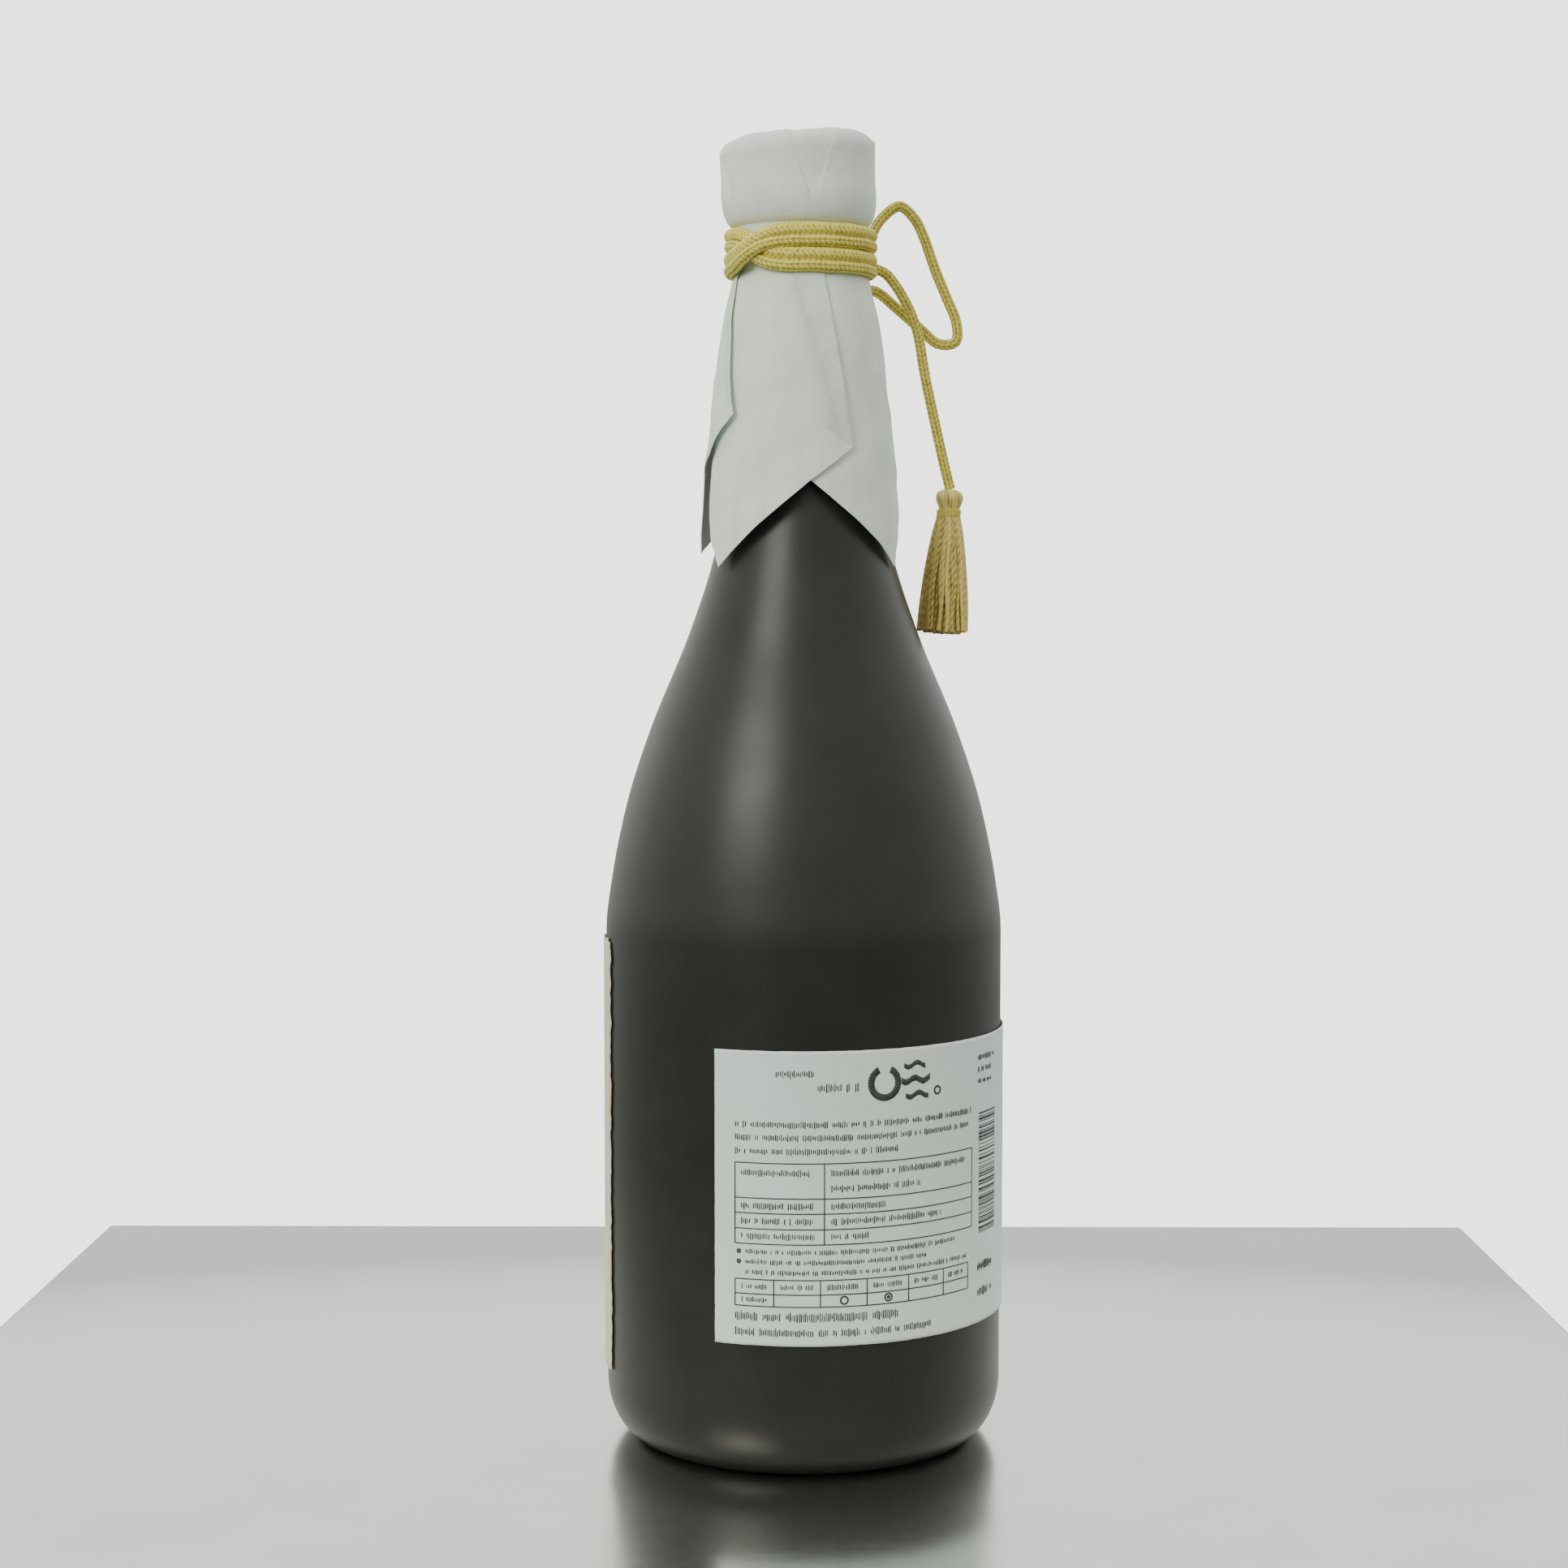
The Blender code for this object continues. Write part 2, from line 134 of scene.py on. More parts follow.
def make_active(piece: Piece) -> None:
    """Select one piece and make it active."""
    select_none()
    piece.select_set(True)
    bpy.context.view_layer.objects.active = piece


def apply_modifiers(piece: Piece) -> None:
    """Apply every modifier of a piece in order."""
    make_active(piece)
    for modifier in list(piece.modifiers):
        bpy.ops.object.modifier_apply(modifier=modifier.name)


def piece_from_arrays(name: str, points: np.ndarray, faces: Iterable) -> Piece:
    """Link a new piece made of points and faces.

    Args:
        name: The piece's name.
        points: One row for each point.
        faces: Tuples of point numbers.

    Returns:
        The new object, at the origin.
    """
    mesh = bpy.data.meshes.new(name)
    mesh.from_pydata(points.tolist(), [], [tuple(int(i) for i in face) for face in faces])
    mesh.update()
    piece = bpy.data.objects.new(name, mesh)
    bpy.context.scene.collection.objects.link(piece)
    mesh.shade_smooth()
    return piece


def turn_profile(name: str, profile: list[tuple[float, float]], steps: int) -> Piece:
    """Draw a profile by extruding one point along it, then spin it round the upright axis.

    Args:
        name: The piece's name.
        profile: Radius and height stations.
        steps: The number of faces round the axis.

    Returns:
        The turned piece, with its doubles merged and its faces pointing out.
    """
    select_none()
    bpy.ops.mesh.primitive_plane_add(size=MM)
    piece = bpy.context.object
    piece.name = name
    piece.data.name = name
    bpy.ops.object.mode_set(mode="EDIT")
    bpy.ops.mesh.merge(type="CENTER")
    bpy.ops.transform.translate(value=(profile[0][0], 0.0, profile[0][1]))
    for (r0, z0), (r1, z1) in zip(profile, profile[1:]):
        bpy.ops.mesh.extrude_region_move(TRANSFORM_OT_translate={"value": (r1 - r0, 0.0, z1 - z0)})
    bpy.ops.mesh.select_all(action="SELECT")
    bpy.ops.mesh.spin(steps=steps, angle=FULL_TURN, center=(0, 0, 0), axis=(0, 0, 1))
    bpy.ops.mesh.select_all(action="SELECT")
    bpy.ops.mesh.remove_doubles(threshold=0.00001)
    bpy.ops.mesh.normals_make_consistent(inside=False)
    bpy.ops.object.mode_set(mode="OBJECT")
    bpy.ops.object.shade_smooth_by_angle(angle=math.radians(35))
    return piece


def dress(piece: Piece, material: Material) -> None:
    """Give a piece one material in its only slot."""
    piece.data.materials.clear()
    piece.data.materials.append(material)


def settle(piece: Piece, body: str, slot: str, material: Material, *nodes: str) -> None:
    """Dress a piece, say which body it rides on and which nodes it stands for."""
    dress(piece, material)
    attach(piece, body)
    if nodes:
        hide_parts(*nodes)
    LOG.info("%s: %d faces on %s", piece.name, len(piece.data.polygons), body)


# ------------------------------------------------------------------ materials

def add_node(tree: Tree, kind: str, links: dict | None = None, **settings: object) -> Node:
    """Add one node with its settings and links.

    Args:
        tree: The material's node tree.
        kind: The node's type name without its "ShaderNode" prefix.
        links: Input names or numbers, each with an output socket or a plain value.
        settings: Attributes of the node itself.

    Returns:
        The new node.
    """
    node = tree.nodes.new("ShaderNode" + kind)
    for name, value in settings.items():
        setattr(node, name, value)
    for name, value in (links or {}).items():
        if isinstance(value, Socket):
            tree.links.new(value, node.inputs[name])
        else:
            node.inputs[name].default_value = value
    return node


def new_material(name: str, **sockets: object) -> tuple[Material, Tree, Node]:
    """Start a material with its Principled shader's own values.

    Args:
        name: The material's name.
        sockets: Socket names with underscores for spaces, each with its value.

    Returns:
        The material, its node tree and its shader.
    """
    material = bpy.data.materials.new(name)
    material.use_nodes = True
    tree = material.node_tree
    shader = tree.nodes["Principled BSDF"]
    for socket, value in sockets.items():
        shader.inputs[socket.replace("_", " ")].default_value = value
    return material, tree, shader


def ramp(tree: Tree, source: Socket, stops: list[tuple[float, str]]) -> Socket:
    """Colour a value by a ramp of sRGB stops and return the colour output."""
    node = add_node(tree, "ValToRGB", {"Fac": source})
    elements = node.color_ramp.elements
    elements[0].position, elements[0].color = stops[0][0], linear(stops[0][1])
    elements[1].position, elements[1].color = stops[-1][0], linear(stops[-1][1])
    for place, code in stops[1:-1]:
        element = elements.new(place)
        element.color = linear(code)
    return node.outputs["Color"]


def remap(tree: Tree, source: Socket, low: float, high: float,
          new_low: float, new_high: float) -> Socket:
    """Map a value's range onto another and return the output."""
    node = add_node(tree, "MapRange", {
        "Value": source, "From Min": low, "From Max": high, "To Min": new_low, "To Max": new_high,
    })
    return node.outputs["Result"]


def grain(tree: Tree, size_mm: float, detail: float = 3.0, stretch: tuple = (1, 1, 1)) -> Socket:
    """A noise whose features are about size_mm across, stretched along an axis if asked."""
    place = add_node(tree, "TexCoord").outputs["Object"]
    mapped = add_node(tree, "Mapping", {"Vector": place, "Scale": stretch}).outputs["Vector"]
    node = add_node(tree, "TexNoise", {"Vector": mapped, "Scale": 1 / (size_mm * MM), "Detail": detail})
    return node.outputs["Fac"]


def raise_surface(tree: Tree, shader: Node, height: Socket,
                  depth_mm: float, under: Socket | None = None) -> Socket:
    """Bump the shader's surface by a height pattern, over another bump if one is given."""
    links = {"Height": height, "Distance": depth_mm * MM, "Strength": 1.0}
    if under is not None:
        links["Normal"] = under
    bump = add_node(tree, "Bump", links)
    tree.links.new(bump.outputs["Normal"], shader.inputs["Normal"])
    return bump.outputs["Normal"]


def tint(tree: Tree, shader: Node, source: Socket,
         *stops: tuple[float, str]) -> None:
    """Colour the shader's base by a pattern and a ramp of stops."""
    tree.links.new(ramp(tree, source, list(stops)), shader.inputs["Base Color"])


@dataclass(frozen=True)
class FrostedGlass:
    """Acid-frosted near-black soda-lime glass: a satin skin that smears every reflection."""

    low: str = "#1b1b17"
    high: str = "#23231f"
    frost_mm: float = 0.35      # the etch is finer than this; drawn as coarse as it needs to show
    smudge_mm: float = 14.0

    def build(self) -> Material:
        """Make the material."""
        material, tree, shader = new_material(
            "frosted_black_glass", Roughness=0.38, IOR=1.5, Specular_IOR_Level=0.4,
        )
        smudge = grain(tree, self.smudge_mm, 4.0)
        tint(tree, shader, smudge, (0.3, self.low), (0.7, self.high))
        tree.links.new(remap(tree, smudge, 0.3, 0.7, 0.36, 0.41), shader.inputs["Roughness"])
        raise_surface(tree, shader, grain(tree, self.frost_mm, 2.0), 0.012)
        return material


@dataclass(frozen=True)
class LabelPaper:
    """Calendered cast-coated label paper: even and pale, with a faint sheen and fine tooth."""

    low: str = "#dbe9e3"
    high: str = "#e2efea"

    def build(self) -> Material:
        """Make the material."""
        material, tree, shader = new_material("coated_label_paper", Roughness=0.5, IOR=1.47)
        tint(tree, shader, grain(tree, 9.0, 4.0), (0.3, self.low), (0.7, self.high))
        raise_surface(tree, shader, grain(tree, 0.4, 3.0), 0.01)
        return material


@dataclass(frozen=True)
class Ink:
    """Offset printing ink dried on paper: flat, dark and a little uneven where the roller starved."""

    name: str = "black_printing_ink"
    low: str = "#262a28"
    high: str = "#434946"

    def build(self) -> Material:
        """Make the material."""
        material, tree, shader = new_material(self.name, Roughness=0.55, IOR=1.5)
        tint(tree, shader, grain(tree, 1.2, 4.0), (0.35, self.low), (0.75, self.high))
        return material


@dataclass(frozen=True)
class Washi:
    """Handmade mulberry paper: matte, cloudy, with long fibres lying every way in the sheet."""

    name: str
    stops: tuple[str, str, str]
    fibre: str
    fibre_share: float = 0.35

    def build(self) -> Material:
        """Make the material."""
        # thin enough that light seeps through a single layer
        material, tree, shader = new_material(
            self.name, Roughness=0.82, IOR=1.5, Specular_IOR_Level=0.3, Sheen_Weight=0.15,
            Subsurface_Weight=0.25, Subsurface_Radius=(1.0, 1.0, 0.9), Subsurface_Scale=0.0008,
        )
        low, middle, high = self.stops
        cloud = ramp(tree, grain(tree, 4.0, 4.0, (1.0, 1.0, 0.18)), [(0.3, low), (0.5, middle), (0.7, high)])
        # fibres about 0.25 mm wide and 3 mm long, in two directions across the sheet
        rising = grain(tree, 0.5, 2.0, (1.0, 1.0, 0.1))
        lying = grain(tree, 0.5, 2.0, (0.16, 0.16, 1.2))
        both = add_node(tree, "Math", {0: rising, 1: lying}, operation="MAXIMUM").outputs[0]
        marks = remap(tree, both, 0.62, 0.74, 0.0, self.fibre_share)
        # numbers, because a Mix node's colour sockets share their names with its number sockets
        mixed = add_node(tree, "Mix", {0: marks, 6: cloud, 7: linear(self.fibre)}, data_type="RGBA")
        tree.links.new(mixed.outputs[2], shader.inputs["Base Color"])
        under = raise_surface(tree, shader, both, 0.06)
        raise_surface(tree, shader, grain(tree, 1.6, 4.0), 0.10, under)
        return material


@dataclass(frozen=True)
class Thread:
    """Dyed yarn, with a painted highlight on the crests and painted brown shade deep in the furrows between
    strands.
    """

    name: str
    # the furrow colour is painted shade and the crest colour a painted highlight; body is the dye itself
    furrow_shade: str
    body: str
    crest: str
    fibre_mm: float = 0.12
    sheen: float = 0.35
    roughness: float = 0.68

    def build(self) -> Material:
        """Make the material."""
        material, tree, shader = new_material(
            self.name, Roughness=self.roughness, IOR=1.5, Specular_IOR_Level=0.35,
            Sheen_Weight=self.sheen, Sheen_Roughness=0.5, Sheen_Tint=linear(self.crest),
        )
        # painted shade and highlight: the relief height darkens the furrows to brown and lightens the crests,
        # over a random mottle of the dye
        relief = add_node(tree, "Attribute", attribute_name="relief").outputs["Fac"]
        mottle = remap(tree, grain(tree, 1.1, 4.0), 0.3, 0.7, -0.16, 0.16)
        mixed = add_node(tree, "Math", {0: relief, 1: mottle}, operation="ADD").outputs[0]
        tint(tree, shader, mixed, (0.05, self.furrow_shade), (0.5, self.body), (0.92, self.crest))
        raise_surface(tree, shader, grain(tree, self.fibre_mm, 2.0), 0.02)
        return material


@dataclass(frozen=True)
class Moulded:
    """Injection-moulded plastic: even colour, fine gate texture and a soft gloss."""

    name: str
    low: str
    high: str
    roughness: float

    def build(self) -> Material:
        """Make the material."""
        material, tree, shader = new_material(self.name, Roughness=self.roughness, IOR=1.51)
        tint(tree, shader, grain(tree, 5.0, 3.0), (0.3, self.low), (0.7, self.high))
        raise_surface(tree, shader, grain(tree, 0.3, 2.0), 0.006)
        return material


@dataclass(frozen=True)
class TableTop:
    """Satin pale metal: it blurs the bright surround and goes black under what stands on it."""

    low: str = "#d6d7d3"
    high: str = "#dcddd9"

    def build(self) -> Material:
        """Make the material."""
        material, tree, shader = new_material("satin_pale_metal", Roughness=0.20, Metallic=1.0)
        tint(tree, shader, grain(tree, 40.0, 4.0), (0.3, self.low), (0.7, self.high))
        tree.links.new(remap(tree, grain(tree, 3.0, 4.0), 0.3, 0.7, 0.19, 0.22), shader.inputs["Roughness"])
        return material


# each thread's furrow colour is painted shade and its crest colour a painted highlight
CORD_FINISH = Thread("braided_rayon_cord", furrow_shade="#9a862f", body="#e0d35c", crest="#f2e786")
BINDING_FINISH = Thread("wound_silk_thread", furrow_shade="#9a862f", body="#d2bf52", crest="#e6da7c",
                        sheen=0.5, roughness=0.5)
FLOSS_FINISH = Thread("twisted_rayon_floss", furrow_shade="#9c8040", body="#dfc86f", crest="#f0df90",
                      sheen=0.5, roughness=0.55)
HOOD_FINISH = Washi("pale_washi", ("#e3efe4", "#e9f4ea", "#eff8f0"), "#f6faf4")
FRONT_FINISH = Washi("natural_kozo_washi", ("#cdc9a8", "#d8d5b6", "#e0dec4"), "#a39d74", 0.5)


# ----------------------------------------------------------------- strand work

def braid_relief(angle: np.ndarray, distance: np.ndarray) -> np.ndarray:
    """Crest height of a round braid whose columns lean left and right in turn.

    Args:
        angle: Places round the cord, in radians.
        distance: Places along the cord, in metres.

    Returns:
        Heights from 0 in the furrows to 1 on the crests.
    """
    columns = 8
    pitch = 1.05 * MM
    turns = angle / FULL_TURN * columns
    column = np.floor(turns)
    across = turns - column - 0.5
    lean = np.where(column % 2 == 0, 1.0, -1.0)
    ridge = 0.5 + 0.5 * np.cos(FULL_TURN * (distance / pitch + lean * across * 0.9))
    dome = np.sqrt(np.maximum(0.0, np.cos(math.pi * across)))
    return dome * (0.25 + 0.75 * ridge)


def folded_relief(angle: np.ndarray, distance: np.ndarray) -> np.ndarray:
    """Crest height of floss folded over a knob: fine ribs that run down it."""
    ribs = 22
    return 0.55 + 0.25 * np.cos(ribs * angle) + 0.2 * np.cos(7 * angle + distance / MM)


def twist_relief(angle: np.ndarray, distance: np.ndarray) -> np.ndarray:
    """Crest height of a two-ply twisted strand."""
    pitch = 1.7 * MM
    return 0.55 + 0.2 * np.cos(2 * angle - FULL_TURN * distance / pitch)


@dataclass
class StrandBundle:
    """Tubes with a spun relief, gathered into one mesh with the relief kept as an attribute for painted shade
    and highlight.
    """

    relief: Relief
    relief_depth: float
    sides: int
    points: list[np.ndarray] = field(default_factory=list)
    crests: list[np.ndarray] = field(default_factory=list)
    # crest heights for every point, used to paint shade in the furrows and a highlight on the crests
    faces: list[tuple[int, ...]] = field(default_factory=list)
    count: int = 0

    def add(self, path: list[Vector], radius: float | list[float],
            spin: float = 0.0, tone: float = 0.0) -> None:
        """Sweep one tube along a path.

        Args:
            path: Evenly spaced points.
            radius: The tube's radius, or one for each point of the path.
            spin: Turns the relief round the path, in radians.
            tone: Lightens or darkens this tube's dye, as a share of the relief.
        """
        places = np.array([tuple(point) for point in path])
        radii = np.full(len(path), radius) if isinstance(radius, float) else np.array(radius)
        along = np.gradient(places, axis=0)
        along /= np.linalg.norm(along, axis=1)[:, None]
        side = np.cross(along[0], (0.0, 0.0, 1.0) if abs(along[0][2]) < 0.9 else (1.0, 0.0, 0.0))
        distances = np.concatenate([[0.0], np.cumsum(np.linalg.norm(np.diff(places, axis=0), axis=1))])
        angles = np.linspace(0.0, FULL_TURN, self.sides, endpoint=False)
        rings, ring_shading = [], []
        for index, place in enumerate(places):
            side = side - along[index] * np.dot(side, along[index])
            side /= np.linalg.norm(side)
            other = np.cross(along[index], side)
            crest = self.relief((angles + spin) % FULL_TURN, np.full(self.sides, distances[index]))
            size = radii[index] + self.relief_depth * (crest - 0.6)
            ring = place + np.outer(np.cos(angles) * size, side) + np.outer(np.sin(angles) * size, other)
            rings.append(ring)
            # painted shade and highlight: the crest height, plus the tube's own dye tone
            ring_shading.append(crest + tone)
        start = self.count
        for ring in range(len(rings) - 1):
            low = start + ring * self.sides
            for k in range(self.sides):
                after = (k + 1) % self.sides
                self.faces.append((low + k, low + after, low + self.sides + after, low + self.sides + k))
        last = start + (len(rings) - 1) * self.sides
        self.faces.append(tuple(reversed(range(start, start + self.sides))))
        self.faces.append(tuple(range(last, last + self.sides)))
        self.points.extend(rings)
        self.crests.extend(ring_shading)
        self.count += len(rings) * self.sides

    def build(self, name: str) -> Piece:
        """Make the gathered tubes one piece.

        Args:
            name: The piece's name.

        Returns:
            The piece, with its relief in the point attribute "relief", which the thread finishes paint as
            shade in the furrows and a highlight on the crests.
        """
        piece = piece_from_arrays(name, np.concatenate(self.points), self.faces)
        values = np.clip(np.concatenate(self.crests), 0.0, 1.0).astype(np.float32)
        attribute = piece.data.attributes.new("relief", "FLOAT", "POINT")
        attribute.data.foreach_set("value", values)
        return piece


# ----------------------------------------------------------------- the pieces

@dataclass
class Bottle:
    """The glass: a cylinder with a round heel, a long sloping shoulder and a plain neck."""

    body_radius: float = 0.0425
    wall: float = 0.0030
    bore: float = 0.00925
    neck_radius: float = 0.0121
    mouth_height: float = 0.2617
    heel: tuple[float, float] = (0.0085, 0.0130)
    ring_width: float = 0.0040
    push_up: float = 0.0060
    base: float = 0.0048
    steps: int = 144

    # Shoulder and neck above the straight wall: height, outer radius
    shoulder: tuple[tuple[float, float], ...] = (
        (0.1096, 0.0425), (0.1208, 0.0412), (0.1365, 0.0380), (0.1522, 0.0330), (0.1730, 0.0245),
        (0.1886, 0.0194), (0.2080, 0.0153), (0.2300, 0.0128), (0.2480, 0.0121),
    )

    def radius(self, height: float) -> float:
        """The outer radius at a height, on a smooth curve that never overshoots its stations."""
        stations = self.shoulder
        if height <= stations[0][0]:
            return self.body_radius
        if height >= stations[-1][0]:
            return self.neck_radius
        index = max(i for i in range(len(stations) - 1) if stations[i][0] <= height)
        rises = [(b[1] - a[1]) / (b[0] - a[0]) for a, b in zip(stations, stations[1:])]

        def slope(at: int) -> float:
            before = rises[at - 1] if at > 0 else 0.0
            after = rises[at] if at < len(rises) else 0.0
            return 0.0 if before * after <= 0 else 2 * before * after / (before + after)

        (z0, r0), (z1, r1) = stations[index], stations[index + 1]
        width = z1 - z0
        t = (height - z0) / width
        return (r0 * (2 * t**3 - 3 * t**2 + 1) + slope(index) * width * (t**3 - 2 * t**2 + t)
                + r1 * (3 * t**2 - 2 * t**3) + slope(index + 1) * width * (t**3 - t**2))

    def profile(self) -> list[tuple[float, float]]:
        """The closed section, from the floor's centre up the inside and down the outside."""
        floor = self.push_up + self.base
        inside = self.body_radius - self.wall
        corner = 0.011
        section = [(0.0, floor), (0.3 * inside, floor - 0.0003), (0.6 * inside, floor - 0.0012)]
        for step in range(1, 9):
            angle = math.radians(90 * step / 8)
            section.append((inside - corner + corner * math.sin(angle),
                            floor - 0.0030 + corner * (1 - math.cos(angle))))
        for height in np.linspace(self.shoulder[0][0], 0.2300, 30):
            section.append((max(self.bore, self.radius(float(height)) - self.wall), float(height)))
        lip = 0.0010
        section.append((self.bore, self.mouth_height - lip))
        for step in range(5):
            angle = math.radians(90 * step / 4)
            section.append((self.bore + lip * (1 - math.cos(angle)),
                            self.mouth_height - lip * (1 - math.sin(angle))))
        for step in range(5):
            angle = math.radians(90 * step / 4)
            section.append((self.neck_radius - lip * (1 - math.sin(angle)),
                            self.mouth_height - lip * (1 - math.cos(angle))))
        for height in np.linspace(0.2560, self.shoulder[0][0], 64):
            section.append((self.radius(float(height)), float(height)))
        for height in np.linspace(0.1000, self.heel[1] + 0.0040, 8):
            section.append((self.body_radius, float(height)))
        resting = self.body_radius - self.heel[0]
        for step in range(13):
            angle = math.radians(90 * step / 12)
            section.append((resting + self.heel[0] * math.cos(angle), self.heel[1] * (1 - math.sin(angle))))
        dome = resting - self.ring_width
        for share in (1.0, 0.92, 0.8, 0.6, 0.4, 0.2, 0.0):
            section.append((dome * share, self.push_up * (1 - share**2)))
        return section

    def build(self) -> None:
        """Turn the glass and frost it."""
        glass = turn_profile("frosted_bottle", self.profile(), self.steps)
        settle(glass, "bottle", "frosted_glass", FrostedGlass().build(), "bottle")


class Edge(Enum):
    """How a label's edge was made: its waviness in metres."""

    CUT = 0.00005
    TORN = 0.00075


@dataclass
class GluedLabel:
    """A strip of paper glued round the straight wall of the glass."""

    name: str
    node: str
    bottom: float
    top: float
    start: float
    end: float
    edge: Edge
    paper: float = 0.00025
    radius: float = 0.0428
    seed: int = 3

    @property
    def width(self) -> float:
        """The arc length of the label at its paper."""
        return math.radians(self.end - self.start) * (self.radius + self.paper)

    def place(self, u: float, v: float, lift: float) -> Vector:
        """A point u from the left edge, v down from the top and lift above the glass side of the paper."""
        azimuth = self.start + math.degrees(u / (self.radius + self.paper))
        return around(azimuth, self.radius + lift, self.top - v)

    def build(self, material: Material, slot: str) -> None:
        """Bend a grid round the glass, fray its edges and give it the paper's thickness.

        Args:
            material: The paper's finish.
            slot: Not used.
        """
        select_none()
        height = self.top - self.bottom
        columns, rows = 200, 90
        bpy.ops.mesh.primitive_grid_add(x_subdivisions=columns, y_subdivisions=rows, size=2.0)
        label = bpy.context.object
        label.name = self.name
        label.data.name = self.name
        for point in label.data.vertices:
            across, up = point.co.x, point.co.y
            waver = Vector((across * 9 + self.seed, up * 9, self.seed))
            fray = self.edge.value * (noise.fractal(waver * 2.2, 0.7, 2.0, 5))
            u = self.width * (across + 1) / 2 + fray * across**8
            v = height * (1 - up) / 2 - fray * (1 if up > 0 else -1) * up**8
            ripple = 0.00003 * noise.noise(waver * 0.6)
            point.co = self.place(u, v, ripple if abs(across) < 0.97 else 0.0)
        for polygon in label.data.polygons:
            polygon.use_smooth = True
        label.data.update()
        first = label.data.polygons[0]
        if first.normal.dot(first.center.xy.to_3d()) < 0:
            make_active(label)
            bpy.ops.object.mode_set(mode="EDIT")
            bpy.ops.mesh.select_all(action="SELECT")
            bpy.ops.mesh.flip_normals()
            bpy.ops.object.mode_set(mode="OBJECT")
        shell = label.modifiers.new("thickness", "SOLIDIFY")
        shell.thickness = self.paper
        shell.offset = 1.0
        apply_modifiers(label)
        settle(label, "bottle", slot, material, self.node)


@dataclass
class InkMarks:
    """Printed marks as a film of ink a few hundredths of a millimetre thick on a label."""

    label: GluedLabel
    film: float = 0.00004
    points: list[Vector] = field(default_factory=list)
    faces: list[tuple[int, ...]] = field(default_factory=list)

    def patch(self, corners: list[tuple[float, float]]) -> None:
        """Lay one four-cornered patch, given in millimetres across and down, split to follow the curve."""
        (u0, v0), (u1, v1), (u2, v2), (u3, v3) = corners
        splits = max(1, math.ceil(abs(u1 - u0) / 2.0))
        start = len(self.points)
        lift = self.label.paper + self.film
        for step in range(splits + 1):
            share = step / splits
            upper = (u0 + (u1 - u0) * share, v0 + (v1 - v0) * share)
            lower = (u3 + (u2 - u3) * share, v3 + (v2 - v3) * share)
            for u, v in (upper, lower):
                self.points.append(self.label.place(u * MM, v * MM, lift))
        for step in range(splits):
            first = start + 2 * step
            self.faces.append((first, first + 1, first + 3, first + 2))

    def bar(self, u0: float, v0: float, u1: float, v1: float) -> None:
        """Lay one upright rectangle, in millimetres."""
        self.patch([(u0, v0), (u1, v0), (u1, v1), (u0, v1)])

    def ticks(self, u0: float, u1: float, middle: float, height: float, dice: random.Random) -> None:
        """Fill a line with upright ticks of uneven height, which stand for small print and spell nothing."""
        u = u0
        while u < u1 - 0.3:
            weight = dice.uniform(0.16, 0.27)
            half = height * dice.uniform(0.20, 0.46)
            at = middle + height * dice.uniform(-0.08, 0.08)
            self.bar(u, at - half, u + weight, at + half)
            u += weight + dice.uniform(0.15, 0.27)
            if dice.random() < 0.10:
                u += 0.45 * height

    def ring(self, u: float, v: float, outer: float, inner: float, gap: float = 0.0) -> None:
        """Lay a ring, or an open one if a gap in degrees is given."""
        sectors = 28
        for step in range(sectors):
            a = math.radians(gap / 2 + (360 - gap) * step / sectors)
            b = math.radians(gap / 2 + (360 - gap) * (step + 1) / sectors)
            corners = ((outer, a), (outer, b), (inner, b), (inner, a))
            self.patch([(u + reach * math.sin(turn), v - reach * math.cos(turn)) for reach, turn in corners])

    def build(self, name: str, ink: Ink) -> None:
        """Make the marks one piece with the film's thickness."""
        piece = piece_from_arrays(name, np.array([tuple(p) for p in self.points]), self.faces)
        film = piece.modifiers.new("film", "SOLIDIFY")
        film.thickness = self.film
        film.offset = 0.0
        apply_modifiers(piece)
        settle(piece, "bottle", "back_label_paper", ink.build())


